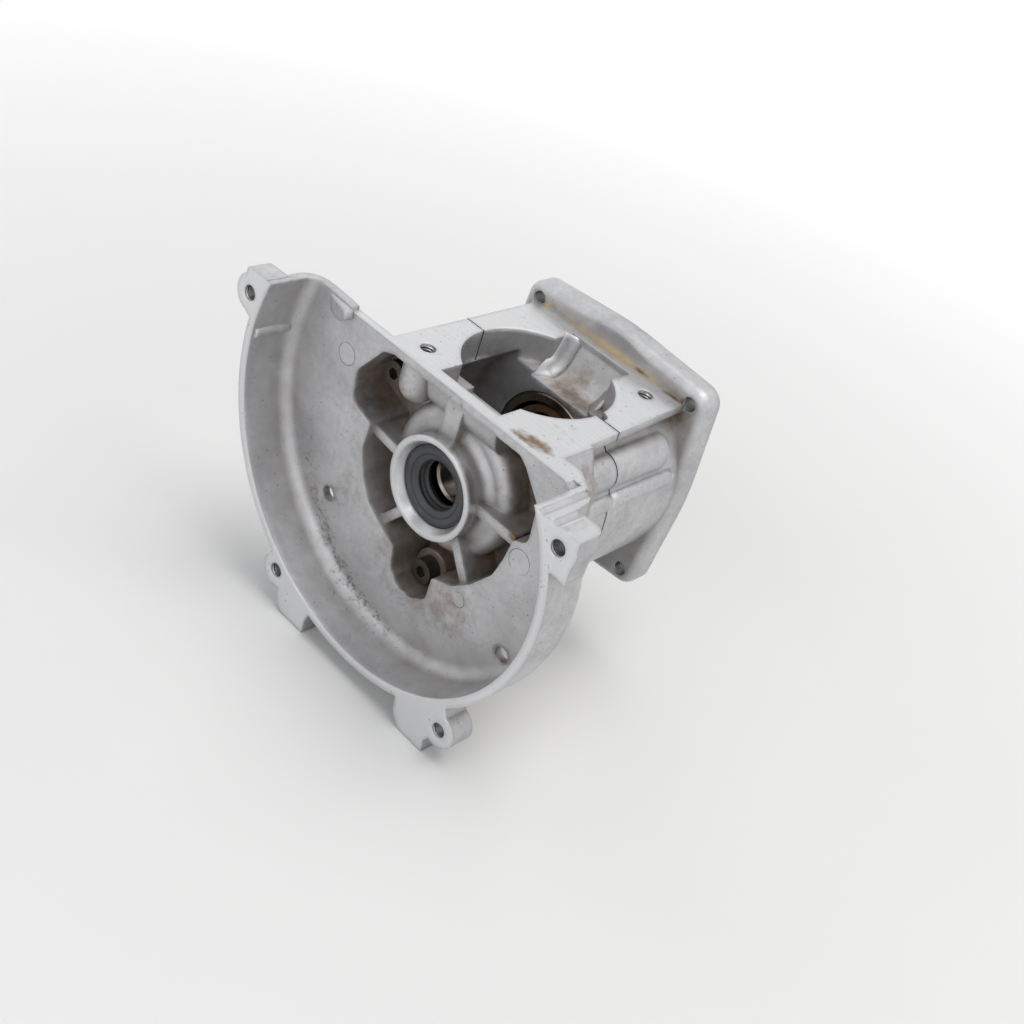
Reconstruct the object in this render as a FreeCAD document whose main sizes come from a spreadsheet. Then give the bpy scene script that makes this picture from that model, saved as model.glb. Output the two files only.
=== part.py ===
import FreeCAD, Part
import math
import os
import Sketcher

# Crankcase of a small two-stroke engine with its crankshaft taken out: a front half cast in one with the
# fan housing, a rear half with the starter flange, gasket, ball bearings, shaft seals, screws and dowels.
# The origin is where the crank axis meets the cylinder axis, in the plane where the halves part.
# +Z is up along the cylinder, +Y runs along the crank from the fan side to the starter side. Millimetres.

V = FreeCAD.Vector
document = FreeCAD.newDocument("crankcase")

# Driving sizes first, then the sizes that follow from them as formulas.
sizeTable = [
    ("bearing_outer", 32.0, "outside diameter of each crank bearing"),
    ("bearing_bore", 12.0, "bore of each crank bearing"),
    ("bearing_width", 10.0, "width of each crank bearing"),
    ("ball_size", 5.953, "ball diameter"),
    ("ball_pitch", 22.0, "diameter of the ball circle"),
    ("ball_play", 0.02, "radial play of a ball in its groove"),
    ("groove_radius", 3.1, "radius of the ball grooves"),
    ("outer_land", 13.3, "inside radius of the outer race beside its groove"),
    ("inner_land", 8.7, "outside radius of the inner race beside its groove"),
    ("race_chamfer", 0.6, "chamfer of the race corners"),
    ("cage_inner", 10.0, "inside radius of the ball cage"),
    ("cage_outer", 12.0, "outside radius of the ball cage"),
    ("cage_width", 8.0, "width of the ball cage"),
    ("cage_play", 0.07, "play of a ball in its cage pocket"),
    ("seal_outer", 22.0, "outside diameter of the shaft seals"),
    ("seal_lip", 12.1, "diameter of the seal lip as a 12 mm shaft holds it"),
    ("seal_width", 7.0, "width of the shaft seals"),
    ("seal_spring", 0.6, "radius of the coiled garter in the seal"),
    ("front_boss_depth", 29.7, "split plane to the front face of the seal boss"),
    ("front_seal_recess", 2.1, "seal face below the boss face"),
    ("lead_in", 1.3, "radial height of the lead-in cone in front of the seal"),
    ("front_boss_radius", 13.8, "outside radius of the seal boss"),
    ("barrel_radius", 20.5, "outside radius of the front bearing barrel"),
    ("barrel_depth", 22.6, "split plane to the shoulder of the bearing barrel"),
    ("barrel_round", 3.5, "rounding of the barrel shoulder"),
    ("chamber_radius", 27.3, "radius of the crank chamber"),
    ("chamber_front", 10.1, "split plane to the front wall of the chamber"),
    ("chamber_rear", 12.3, "split plane to the rear wall of the chamber"),
    ("body_radius", 33.6, "outside radius of the round crankcase body"),
    ("deck_height", 27.7, "crank axis to the cylinder deck"),
    ("deck_left", 26.65, "crank axis to the left edge of the deck"),
    ("deck_right_front", 29.4, "crank axis to the right edge of the deck at its front end"),
    ("deck_right_rear", 26.5, "crank axis to the right edge of the deck at its rear end"),
    ("deck_thickness", 2.4, "thickness of the deck plate where it stands free"),
    ("block_height", 12.0, "height of the block behind the upper right cover lug"),
    ("block_lug_depth", 8.5, "depth of that block where the lug's thread goes through it"),
    ("block_reach", 53.0, "crank axis to the outer side of that block"),
    ("mouth_radius", 20.3, "radius of the cylinder spigot pocket"),
    ("mouth_depth", 8.7, "depth of the cylinder spigot pocket"),
    ("slot_width", 20.6, "width of the two transfer slots"),
    ("slot_reach", 25.0, "cylinder axis to the outer end of each transfer slot"),
    ("slot_lip", 1.6, "straight drop at the outer end of each transfer slot"),
    ("scoop_drop", 10.3, "deck to the low end of each transfer scoop"),
    ("stud_x", 19.1, "cylinder stud holes, sideways from the cylinder axis"),
    ("stud_y", 21.2, "cylinder stud holes, lengthways from the cylinder axis"),
    ("thread_drill", 4.2, "drilled diameter of the M5 threads"),
    ("stud_depth", 12.0, "depth of the cylinder stud threads"),
    ("stud_boss", 5.0, "radius of the boss under the front stud hole"),
    ("screw_size", 4.0, "nominal diameter of the case screws"),
    ("screw_hole", 4.5, "clearance hole of the case screws"),
    ("screw_head", 7.0, "head diameter of the case screws"),
    ("screw_head_height", 4.0, "head height of the case screws"),
    ("socket_size", 3.0, "width across the flats of the screw heads' sockets"),
    ("socket_depth", 2.0, "depth of the screw heads' sockets"),
    ("screw_reach", 11.0, "how far the case screws pass behind the split plane"),
    ("bulge_end", 21.5, "split plane to where the rear screw bulges start to round off"),
    ("screw_seat", 18.5, "split plane to the faces under the screw heads"),
    ("screw_boss", 5.3, "radius of the bosses round the case screws"),
    ("upper_screw_x", 26.8, "upper case screws, sideways from the crank axis"),
    ("upper_screw_z", 15.6, "upper case screws, above the crank axis"),
    ("lower_screw_z", 30.2, "lower case screw, below the crank axis"),
    ("dowel_radius", 2.0, "radius of the hollow dowels"),
    ("dowel_bore", 1.2, "inside radius of the hollow dowels"),
    ("dowel_length", 8.0, "length of the hollow dowels"),
    ("dowel_x", 30.3, "dowels, sideways from the crank axis"),
    ("dowel_drop", 4.0, "dowels, below the crank axis"),
    ("fit_play", 0.02, "radial clearance of pressed and located pieces"),
    ("gasket_thickness", 0.4, "thickness of the case gasket"),
    ("web_depth", 28.7, "split plane to the floor of the fan housing"),
    ("web_thickness", 2.5, "thickness of the fan housing floor"),
    ("rim_depth", 42.7, "split plane to the rim of the fan housing"),
    ("shroud_wall", 2.5, "wall thickness of the fan housing"),
    ("shroud_radius", 48.6, "inside radius of the fan housing on its narrow side"),
    ("volute_rise", 10.5, "growth of the inside radius from the narrow to the wide side"),
    ("shroud_x", 0.3, "sideways place of both shroud centres"),
    ("shroud_drop", 1.9, "narrow side's centre below the crank axis"),
    ("shroud_corner", 3.5, "inside rounding between floor and wall"),
    ("shroud_top", 29.0, "top edge of the fan housing on the wide side"),
    ("shroud_top_x", 47.0, "where the top edge starts to fall to the deck"),
    ("recess_depth", 14.2, "split plane to the bottom of the hub recess"),
    ("recess_radius", 24.8, "radius of the recess round the hub"),
    ("lower_shell_radius", 8.7, "radius of the shell round the recess below the hub"),
    ("rib_depth", 26.2, "split plane to the front faces of the hub ribs"),
    ("rib_offset", 2.0, "how far the hub ribs pass beside the crank axis"),
    ("web_hole", 4.4, "holes through the fan housing floor"),
    ("lug_depth", 7.0, "thickness of the cover lugs"),
    ("lug_radius", 5.2, "outside radius of the cover lugs round their threads"),
    ("foot_level", 58.0, "crank axis to the flat feet of the two lower lugs"),
    ("flange_depth", 29.3, "split plane to the front face of the starter flange"),
    ("flange_thickness", 7.0, "thickness of the starter flange"),
    ("flange_half", 34.6, "crank axis to the middle of the flange's sides"),
    ("flange_bow", 2.4, "how far the flange's sides bulge"),
    ("flange_side_radius", 90.0, "rounding in the middle of the flange's bulged sides"),
    ("flange_corner", 5.0, "rounded corners of the flange"),
    ("flange_edge", 2.6, "rounded front edge of the flange"),
    ("flange_hole_x", 27.5, "flange threads, sideways from the crank axis"),
    ("flange_hole_z", 28.0, "flange threads, above and below the crank axis"),
    ("starter_cavity", 24.0, "radius of the hollow behind the rear seal"),
    ("starter_cavity_depth", 8.5, "depth of the hollow behind the rear seal"),
    ("rear_boss_radius", 14.0, "outside radius of the rear seal boss"),
    ("rear_boss_height", 4.2, "height of the rear seal boss above the hollow's floor"),
    ("rear_seal_gap", 0.6, "space between rear bearing and rear seal"),
    ("bearing_radius", "=bearing_outer / 2", "bearing seat radius"),
    ("front_bearing_depth", "=chamber_front + bearing_width",
     "split plane to the front bearing's front face"),
    ("front_seal_depth", "=front_boss_depth - front_seal_recess", "split plane to the front seal's face"),
    ("rear_bearing_depth", "=chamber_rear + bearing_width", "split plane to the rear bearing's rear face"),
    ("rear_seal_start", "=rear_bearing_depth + rear_seal_gap", "split plane to the rear seal's inner face"),
    ("rear_seal_depth", "=rear_seal_start + seal_width", "split plane to the rear seal's outer face"),
    ("web_back", "=web_depth - web_thickness", "split plane to the back of the fan housing floor"),
    ("flange_back", "=flange_depth + flange_thickness", "split plane to the starter face of the flange"),
    ("deck_right_middle", "=deck_right_front + (deck_right_rear - deck_right_front) * web_depth"
                          " / (web_depth + flange_depth)",
     "crank axis to the deck's right edge at the split"),
    ("half_gasket", "=gasket_thickness / 2", "split plane to each half's joint face"),
    ("wide_radius", "=shroud_radius + volute_rise", "inside radius of the fan housing on its wide side"),
    ("wide_centre", "=volute_rise - shroud_drop", "wide side's centre above the crank axis"),
    ("cavity_floor", "=flange_back - starter_cavity_depth", "split plane to the floor of the rear hollow"),
    ("rear_boss_depth", "=cavity_floor + rear_boss_height", "split plane to the face of the rear seal boss"),
]

ballCount = 7
ribs = {"top": (90.0, 5.6), "upper_left": (174.0, 2.6), "lower_left": (232.0, 2.6),
        "lower_right": (306.0, 2.6),
        "right": (0.0, 2.8)}
lugs = {"upper_left": (-62.1, 22.6), "lower_left": (-31.7, -46.6), "lower_right": (35.0, -47.3),
        "upper_right": (48.3, 22.7)}
webHoles = {"left": (-32.9, -25.5), "right": (36.0, -26.8)}

sheet = document.addObject("Spreadsheet::Sheet", "sizes")
for row, (name, amount, meaning) in enumerate(sizeTable, start=1):
    sheet.set(f"A{row}", meaning)
    sheet.set(f"B{row}", str(amount))
    sheet.setAlias(f"B{row}", name)
document.recompute()
size = {name: float(sheet.get(name)) for name, amount, meaning in sizeTable}


def at(name, shift=0.0, times=1.0):
    """A length as its value and its formula in the sheet."""
    return times * size[name] + shift, f"{times} * sizes.{name} + ({shift})"


def total(*lengths):
    """The sum of several lengths, each a number or a pair from at()."""
    pairs = [length if isinstance(length, tuple) else (length, f"({length})") for length in lengths]
    return sum(value for value, formula in pairs), " + ".join(formula for value, formula in pairs)


def minus(length, other):
    """One length less another."""
    value, formula = other if isinstance(other, tuple) else (other, f"({other})")
    return total(length, (-value, f"-({formula})"))


def valueOf(length):
    return length[0] if isinstance(length, tuple) else length


def bind(feature, name, length):
    """Sets a property or constraint to a length, and ties it to the sheet if the length has a formula."""
    if isinstance(length, tuple):
        feature.setExpression(name, length[1])


def originPlane(body, role):
    return next(plane for plane in body.Origin.OriginFeatures if plane.Role == role)


def attach(feature, body, role, base=(0.0, 0.0, 0.0), turn=0.0):
    """Puts a feature on one of its body's own planes, moved by base in the plane's directions."""
    feature.AttachmentSupport = [(originPlane(body, role), "")]
    feature.MapMode = "FlatFace"
    rotation = FreeCAD.Rotation(V(0, 0, 1), turn)
    feature.AttachmentOffset = FreeCAD.Placement(V(*[valueOf(part) for part in base]), rotation)
    for letter, part in zip("xyz", base):
        bind(feature, f"AttachmentOffset.Base.{letter}", part)


def newBody(name):
    body = document.addObject("PartDesign::Body", name)
    body.Label = name
    return body


def newFeature(body, kind, name):
    feature = body.newObject(f"PartDesign::{kind}", name)
    feature.Refine = False
    return feature


def newSketch(body, role, offset, name):
    sketch = body.newObject("Sketcher::SketchObject", name)
    attach(sketch, body, role, (0.0, 0.0, offset))
    return sketch


def constrain(sketch, kind, *where):
    """Adds one constraint; a last entry with a formula is tied to the sheet."""
    length = where[-1]
    index = sketch.addConstraint(Sketcher.Constraint(kind, *where[:-1], valueOf(length)))
    if isinstance(length, tuple):
        sketch.setExpression(f"Constraints[{index}]", length[1])


def pin(sketch, geometry, point, x, y):
    constrain(sketch, "DistanceX", -1, 1, geometry, point, x)
    constrain(sketch, "DistanceY", -1, 1, geometry, point, y)


def scaled(length, times):
    value, formula = length if isinstance(length, tuple) else (length, f"({length})")
    return times * value, f"{times:.6f} * ({formula})"


def drawLoop(sketch, corners):
    """Draws a closed outline of straight lines through corners (x, y, rounding)."""
    points = [V(valueOf(x), valueOf(y), 0) for x, y, rounding in corners]
    joints = []
    for i, (x, y, rounding) in enumerate(corners):
        here = points[i]
        if not rounding:
            joints.append((here, here))
            continue
        back = (points[i - 1] - here).normalize()
        ahead = (points[(i + 1) % len(corners)] - here).normalize()
        half = back.getAngle(ahead) / 2
        inward = (back + ahead).normalize()
        radius = valueOf(rounding)
        start, end = here + back * (radius / math.tan(half)), here + ahead * (radius / math.tan(half))
        centre = here + inward * (radius / math.sin(half))
        arc = sketch.addGeometry(Part.Arc(start, centre - inward * radius, end))
        first = 1 if sketch.getPoint(arc, 1).distanceToPoint(start) < 1e-6 else 2
        apart = inward * (1 / math.sin(half))
        pin(sketch, arc, 3, total(x, scaled(rounding, apart.x)), total(y, scaled(rounding, apart.y)))
        constrain(sketch, "Radius", arc, rounding)
        for point, along in ((first, back), (3 - first, ahead)):
            reach = along * (1 / math.tan(half))
            if abs(along.x) > abs(along.y):
                constrain(sketch, "DistanceX", -1, 1, arc, point, total(x, scaled(rounding, reach.x)))
            else:
                constrain(sketch, "DistanceY", -1, 1, arc, point, total(y, scaled(rounding, reach.y)))
        joints.append((start, end, arc, first))
    lines = [sketch.addGeometry(Part.LineSegment(joints[i - 1][1], joints[i][0]))
             for i in range(len(corners))]
    for i, (x, y, rounding) in enumerate(corners):
        before, after = lines[i], lines[(i + 1) % len(corners)]
        if rounding:
            arc, first = joints[i][2:]
            sketch.addConstraint(Sketcher.Constraint("Coincident", before, 2, arc, first))
            sketch.addConstraint(Sketcher.Constraint("Coincident", after, 1, arc, 3 - first))
        else:
            sketch.addConstraint(Sketcher.Constraint("Coincident", before, 2, after, 1))
            pin(sketch, after, 1, x, y)


def addFeature(body, kind, sketch, name, lengths, **settings):
    """Adds a feature made from a sketch; its lengths are tied to the sheet."""
    feature = newFeature(body, kind, name)
    feature.Profile = sketch
    for key, length in lengths.items():
        setattr(feature, key, valueOf(length))
        bind(feature, key, length)
    for key, setting in settings.items():
        setattr(feature, key, setting)
    return feature


def circlePlate(body, name, circles, start, end, cut=False):
    """Round bosses or holes at (x, z, radius), between two depths in front of the split."""
    sketch = newSketch(body, "XZ_Plane", end if cut else start, name + "_outline")
    for x, z, radius in circles:
        circle = sketch.addGeometry(Part.Circle(V(valueOf(x), valueOf(z), 0), V(0, 0, 1), valueOf(radius)))
        pin(sketch, circle, 3, x, z)
        constrain(sketch, "Radius", circle, radius)
    return addFeature(body, "Pocket" if cut else "Pad", sketch, name, {"Length": minus(end, start)})


def addCylinder(body, name, radius, start, end, x=0.0, y=0.0, role="XZ_Plane", cut=False):
    """A round boss or hole between two distances from a plane: along Y, depths in front of the split."""
    feature = newFeature(body, "SubtractiveCylinder" if cut else "AdditiveCylinder", name)
    attach(feature, body, role, (x, y, start))
    for key, length in (("Radius", radius), ("Height", minus(end, start))):
        setattr(feature, key, valueOf(length))
        bind(feature, key, length)
    return feature


def addBox(body, name, base, sides, turn=0.0, role="XZ_Plane", cut=False):
    """A block from its corner along the plane's directions and its normal."""
    feature = newFeature(body, "SubtractiveBox" if cut else "AdditiveBox", name)
    attach(feature, body, role, base, turn)
    for key, length in zip(("Length", "Width", "Height"), sides):
        setattr(feature, key, valueOf(length))
        bind(feature, key, length)
    return feature


def addBall(body, name, radius, x, y, depth, role="XZ_Plane", cut=False):
    feature = newFeature(body, "SubtractiveSphere" if cut else "AdditiveSphere", name)
    attach(feature, body, role, (x, y, depth))
    feature.Radius = valueOf(radius)
    bind(feature, "Radius", radius)
    return feature


def addRing(body, name, middle, radius, depth, cut=False):
    """A ring of round section about the crank axis."""
    feature = newFeature(body, "SubtractiveTorus" if cut else "AdditiveTorus", name)
    attach(feature, body, "XZ_Plane", (0.0, 0.0, depth))
    for key, length in (("Radius1", middle), ("Radius2", radius)):
        setattr(feature, key, valueOf(length))
        bind(feature, key, length)
    return feature


def revolve(body, name, corners, cut=False):
    """Turns a profile of (place along Y, radius, rounding) about the crank axis."""
    sketch = newSketch(body, "YZ_Plane", 0.0, name + "_profile")
    drawLoop(sketch, corners)
    kind = "Groove" if cut else "Revolution"
    return addFeature(body, kind, sketch, name, {}, ReferenceAxis=(sketch, ["H_Axis"]), Angle=360.0)


def roundEdges(body, name, radius, test):
    """Rounds the edges of the body so far whose shape and middle point pass a test."""
    document.recompute()
    base = body.Tip
    names = []
    for number, edge in enumerate(base.Shape.Edges, start=1):
        middle = edge.valueAt((edge.FirstParameter + edge.LastParameter) / 2)
        if test(edge, middle):
            names.append(f"Edge{number}")
    feature = newFeature(body, "Fillet", name)
    feature.Base = (base, names)
    feature.Radius = valueOf(radius)
    bind(feature, "Radius", radius)
    document.recompute()
    return feature


def isArc(edge, least, most):
    return edge.Curve.TypeId == "Part::GeomCircle" and least < edge.Curve.Radius < most


def drawVolute(sketch, wall, leftTop, rightTop, corners):
    """The fan housing's outline: a narrow arc on the right and a wide one on the left that meet below."""
    narrowRadius = total(at("shroud_radius"), wall)
    wideRadius = valueOf(at("wide_radius")) + valueOf(wall)
    centres = [(at("shroud_x"), at("shroud_drop", times=-1)), (at("shroud_x"), at("wide_centre"))]
    narrowCentre, wideCentre = [V(valueOf(x), valueOf(y), 0) for x, y in centres]
    rightAngle = math.asin((valueOf(rightTop) - narrowCentre.y) / valueOf(narrowRadius))
    leftAngle = math.pi - math.asin((valueOf(leftTop) - wideCentre.y) / wideRadius)
    normal = V(0, 0, 1)
    narrow = sketch.addGeometry(Part.ArcOfCircle(Part.Circle(narrowCentre, normal, valueOf(narrowRadius)),
                                                 -math.pi / 2, rightAngle))
    wide = sketch.addGeometry(Part.ArcOfCircle(Part.Circle(wideCentre, normal, wideRadius),
                                               leftAngle, 1.5 * math.pi))
    pin(sketch, narrow, 3, *centres[0])
    pin(sketch, wide, 3, *centres[1])
    constrain(sketch, "Radius", narrow, narrowRadius)
    constrain(sketch, "DistanceX", -1, 1, narrow, 1, at("shroud_x"))
    sketch.addConstraint(Sketcher.Constraint("Coincident", wide, 2, narrow, 1))
    constrain(sketch, "DistanceY", -1, 1, narrow, 2, rightTop)
    constrain(sketch, "DistanceY", -1, 1, wide, 1, leftTop)
    rightEnd = narrowCentre + V(math.cos(rightAngle), math.sin(rightAngle), 0) * valueOf(narrowRadius)
    leftEnd = wideCentre + V(math.cos(leftAngle), math.sin(leftAngle), 0) * wideRadius
    points = [rightEnd] + [V(valueOf(x), valueOf(y), 0) for x, y in corners] + [leftEnd]
    lines = [sketch.addGeometry(Part.LineSegment(a, b)) for a, b in zip(points, points[1:])]
    sketch.addConstraint(Sketcher.Constraint("Coincident", narrow, 2, lines[0], 1))
    sketch.addConstraint(Sketcher.Constraint("Coincident", lines[-1], 2, wide, 1))
    for line, after, (x, y) in zip(lines, lines[1:], corners):
        sketch.addConstraint(Sketcher.Constraint("Coincident", line, 2, after, 1))
        pin(sketch, after, 1, x, y)


# Front half: fan housing with its volute wall, cover lugs, hub recess, bearing barrel and seal boss.
front = newBody("front_case")
deckMiddle = at("deck_right_middle")
outline = newSketch(front, "XZ_Plane", at("web_back"), "shroud_outline")
drawVolute(outline, at("shroud_wall"), at("shroud_top"), at("deck_height"),
           [(at("deck_left", times=-1), at("deck_height")), (at("shroud_top_x", times=-1), at("shroud_top"))])
addFeature(front, "Pad", outline, "shroud", {"Length": minus(at("rim_depth"), at("web_back"))})
roundEdges(front, "shroud_back_round", total(at("shroud_corner"), at("shroud_wall")),
           lambda edge, middle: isArc(edge, 40, 90) and abs(middle.y + size["web_back"]) < 0.01)

lugFeet = {
    "upper_left": [(-2.4, 6.2), (5.2, 6.6), (3.6, -6.4), (1.4, -6.4), (-4.0, -3.4)],
    "lower_left": [(2.1, -6.3), (3.5, -10.6), (6.8, None), (14.3, None), (14.3, -7.4), (15.3, -4.2),
                   (4.0, 2.0)],
    "lower_right": [(-16.0, -1.2), (-15.3, -6.4), (-14.4, -8.1), (-12.2, None), (-3.0, None), (-3.4, -7.0),
                    (-2.0, -4.4), (4.2, -1.5), (2.0, 3.0), (0.1, 7.2), (0.0, 9.3)],
}
lugBack = minus(at("rim_depth"), at("lug_depth"))
feet = newSketch(front, "XZ_Plane", lugBack, "lug_feet_outline")
for place, corners in lugFeet.items():
    x, z = lugs[place]
    drawLoop(feet, [(x + dx, at("foot_level", times=-1) if dz is None else z + dz, 0) for dx, dz in corners])
addFeature(front, "Pad", feet, "lug_feet", {"Length": at("lug_depth")})
circlePlate(front, "lug_rounds", [(x, z, at("lug_radius")) for x, z in lugs.values()], lugBack,
            at("rim_depth"))

# The upper right lug is a block that runs back to the front corner of the deck, thinner where its hole is.
blockPlan = newSketch(front, "XY_Plane", minus(at("deck_height"), at("block_height")), "corner_block_plan")
drawLoop(blockPlan, [(at("deck_right_front", -5.0), at("rim_depth", times=-1), 0),
                     (at("deck_right_front", -5.0), at("web_back", 3.8, -1), 0),
                     (at("deck_right_front", 5.5), at("web_back", 4.2, -1), 2.0),
                     (at("block_reach", -9.3), at("web_depth", times=-1), 3.0),
                     (at("block_reach", -8.6), minus(at("block_lug_depth"), at("rim_depth")), 1.2),
                     (at("block_reach"), minus(at("block_lug_depth"), at("rim_depth")), 2.5),
                     (at("block_reach"), at("rim_depth", times=-1), 0)])
addFeature(front, "Pad", blockPlan, "corner_block", {"Length": at("block_height")})

hollow = newSketch(front, "XZ_Plane", at("rim_depth"), "shroud_hollow")
drawVolute(hollow, 0.0, at("shroud_top", 0.5), at("shroud_top", 0.5), [(60.0, 50.0), (-75.0, 50.0)])
addFeature(front, "Pocket", hollow, "shroud_pocket", {"Length": minus(at("rim_depth"), at("web_depth"))})
roundEdges(front, "shroud_inner_round", at("shroud_corner"),
           lambda edge, middle: isArc(edge, 40, 90) and abs(middle.y + size["web_depth"]) < 0.01)
circlePlate(front, "corner_block_grooves", [(at("block_reach", back), at("deck_height", 0.9), 1.5)
                                            for back in (-15.4, -11.6, -7.4)],
            at("web_back", 0.3), at("rim_depth", 1.0), cut=True)

# Crankcase body behind the fan housing, with shells round the recess lobes and bulges round the screws.
recessTop = minus(at("deck_height"), at("deck_thickness"))
recessCorners = [(-22.6, recessTop, 1.0), (-26.4, 24.0, 2.5), (-33.6, 14.0, 4.0), (-32.6, 5.2, 3.0),
                 (-24.7, 3.2, 0.8), (-25.2, -5.0, 0), (-22.4, -12.4, 0), (-18.0, -18.2, 0),
                 (-12.0, -21.8, 0), (-6.4, -24.0, 0.8), (-5.4, -31.0, 2.6), (3.0, -34.4, 3.5),
                 (8.6, -30.8, 3.0), (8.6, -23.2, 1.0), (15.0, -20.9, 0), (20.2, -16.2, 0),
                 (25.6, -8.6, 0), (27.0, -3.0, 0), (28.0, 4.2, 1.0), (32.2, 6.0, 3.0),
                 (31.0, 17.0, 4.0), (24.6, 23.6, 2.0), (22.0, recessTop, 1.0)]
shellCorners = [(at("deck_left", times=-1), at("deck_height"), 0), (-36.6, 15.0, 6.0), (-35.5, 1.0, 0),
                (35.0, 1.0, 0), (34.6, 17.0, 6.0), (at("deck_right_front"), at("deck_height"), 0)]
screws = {"left": (at("upper_screw_x", times=-1), at("upper_screw_z")),
          "right": (at("upper_screw_x"), at("upper_screw_z")),
          "lower": (0.0, at("lower_screw_z", times=-1))}
addCylinder(front, "body_round", at("body_radius"), at("half_gasket"), at("web_depth"))
circlePlate(front, "screw_bulges", [(x, z, at("screw_boss")) for x, z in screws.values()], at("half_gasket"),
            at("web_back"))
addBox(front, "body_top", (-40.0, at("deck_height"), -1.0), (80.0, 10.0, at("web_depth", 2.0)), cut=True)
shell = newSketch(front, "XZ_Plane", at("recess_depth", -2.5), "upper_shell_outline")
drawLoop(shell, shellCorners)
addFeature(front, "Pad", shell, "upper_shell", {"Length": minus(at("web_back"), at("recess_depth", -2.5))})
addCylinder(front, "lower_shell", at("lower_shell_radius"), at("recess_depth", -2.5), at("web_back"), 1.5,
            -26.5)
deckPlan = newSketch(front, "XY_Plane", at("deck_height"), "deck_plan")
drawLoop(deckPlan, [(at("deck_left", times=-1), at("web_depth", times=-1), 0),
                    (at("deck_right_front"), at("web_depth", times=-1), 0),
                    (deckMiddle, at("half_gasket", times=-1), 0),
                    (at("deck_left", times=-1), at("half_gasket", times=-1), 0)])
addFeature(front, "Pad", deckPlan, "deck_plate", {"Length": at("deck_thickness")}, Reversed=True)

# Recess round the hub.
recess = newSketch(front, "XZ_Plane", at("web_depth", 1.0), "recess_outline")
drawLoop(recess, recessCorners)
addFeature(front, "Pocket", recess, "recess", {"Length": minus(at("web_depth", 1.0), at("recess_depth"))})

# Hub: neck, shoulder and bearing barrel, ribs and bosses on the recess floor.
revolve(front, "hub", [(at("recess_depth", 1.0, -1), 0.0, 0),
                       (at("front_boss_depth", times=-1), 0.0, 0),
                       (at("front_boss_depth", times=-1), at("front_boss_radius"), 0),
                       (at("barrel_depth", -1.2, -1), at("front_boss_radius"), 1.6),
                       (at("barrel_depth", times=-1), at("front_boss_radius", 2.2), 1.4),
                       (at("barrel_depth", times=-1), at("barrel_radius"), at("barrel_round")),
                       (at("recess_depth", 1.0, -1), at("barrel_radius"), 0)])
ribPlan = newSketch(front, "XZ_Plane", at("recess_depth"), "rib_outlines")
for angle, width in ribs.values():
    ahead = V(math.cos(math.radians(angle)), math.sin(math.radians(angle)), 0)
    aside = V(-ahead.y, ahead.x, 0)
    corners = []
    for outward, sideways in ((0, -0.5), (1, -0.5), (1, 0.5), (0, 0.5)):
        reach = at("recess_radius", 2.0) if outward else 11.0
        offset = at("rib_offset", sideways * width)
        corners.append((total(scaled(reach, ahead.x), scaled(offset, aside.x)),
                        total(scaled(reach, ahead.y), scaled(offset, aside.y)), 0))
    drawLoop(ribPlan, corners)
addFeature(front, "Pad", ribPlan, "hub_ribs", {"Length": minus(at("rib_depth"), at("recess_depth"))})
scoopShell = newSketch(front, "YZ_Plane", at("slot_width", 1.8, 0.5), "scoop_shell_profile")
shellFloor = minus(at("deck_height", -1.8), at("scoop_drop"))
drawLoop(scoopShell, [(at("slot_reach", -1.8, -1), at("deck_height", -0.5), 0),
                      (at("slot_reach", -1.8, -1), minus(at("deck_height", -1.2), at("slot_lip")), 2.0),
                      (at("slot_reach", 0.9, -1), shellFloor, 7.0),
                      (at("recess_depth", 1.0, -1), shellFloor, 0),
                      (at("recess_depth", 1.0, -1), at("deck_height", -0.5), 0)])
addFeature(front, "Pad", scoopShell, "scoop_shell", {"Length": at("slot_width", 3.6)}, Reversed=True)
mouthShell = newSketch(front, "XY_Plane", at("deck_height"), "mouth_shell_outline")
shellFront = at("mouth_radius", 2.0, -1)
drawLoop(mouthShell, [(-17.5, at("recess_depth", 1.0, -1), 0), (-17.5, shellFront, 8.0),
                      (17.5, shellFront, 8.0),
                      (17.5, at("recess_depth", 1.0, -1), 0)])
addFeature(front, "Pad", mouthShell, "mouth_shell", {"Length": at("mouth_depth", 1.8)}, Reversed=True)
circlePlate(front, "screw_bosses", [(x, z, at("screw_boss")) for x, z in screws.values()],
            at("recess_depth", -1.0),
            at("screw_seat"))
addCylinder(front, "stud_boss_front", at("stud_boss"), at("deck_height", -10.5), at("deck_height", -1.0),
            at("stud_x", times=-1), at("stud_y", times=-1), role="XY_Plane")
addBall(front, "stud_boss_end", at("stud_boss", -0.1), at("stud_x", times=-1), at("stud_y", times=-1),
        at("deck_height", -10.5), role="XY_Plane")
circlePlate(front, "head_clearances", [(x, z, at("screw_head", 0.4, 0.5)) for x, z in screws.values()],
            at("screw_seat"), at("web_depth", 1.0), cut=True)

# Bores from the fan side: lead-in cone, seal seat, bearing seat and crank chamber.
revolve(front, "front_bores", [(1.0, 0.0, 0),
                               (at("front_boss_depth", -1.0, -1), 0.0, 0),
                               (at("front_boss_depth", -1.0, -1),
                                total(at("seal_outer", times=0.5), at("lead_in")), 0),
                               (at("front_boss_depth", times=-1),
                                total(at("seal_outer", times=0.5), at("lead_in")), 0),
                               (at("front_seal_depth", times=-1), at("seal_outer", times=0.5), 0),
                               (at("front_bearing_depth", times=-1), at("seal_outer", times=0.5), 0),
                               (at("front_bearing_depth", times=-1), at("bearing_radius"), 0),
                               (at("chamber_front", times=-1), at("bearing_radius"), 0),
                               (at("chamber_front", times=-1), at("chamber_radius"), 0),
                               (1.0, at("chamber_radius"), 0)], cut=True)


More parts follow.
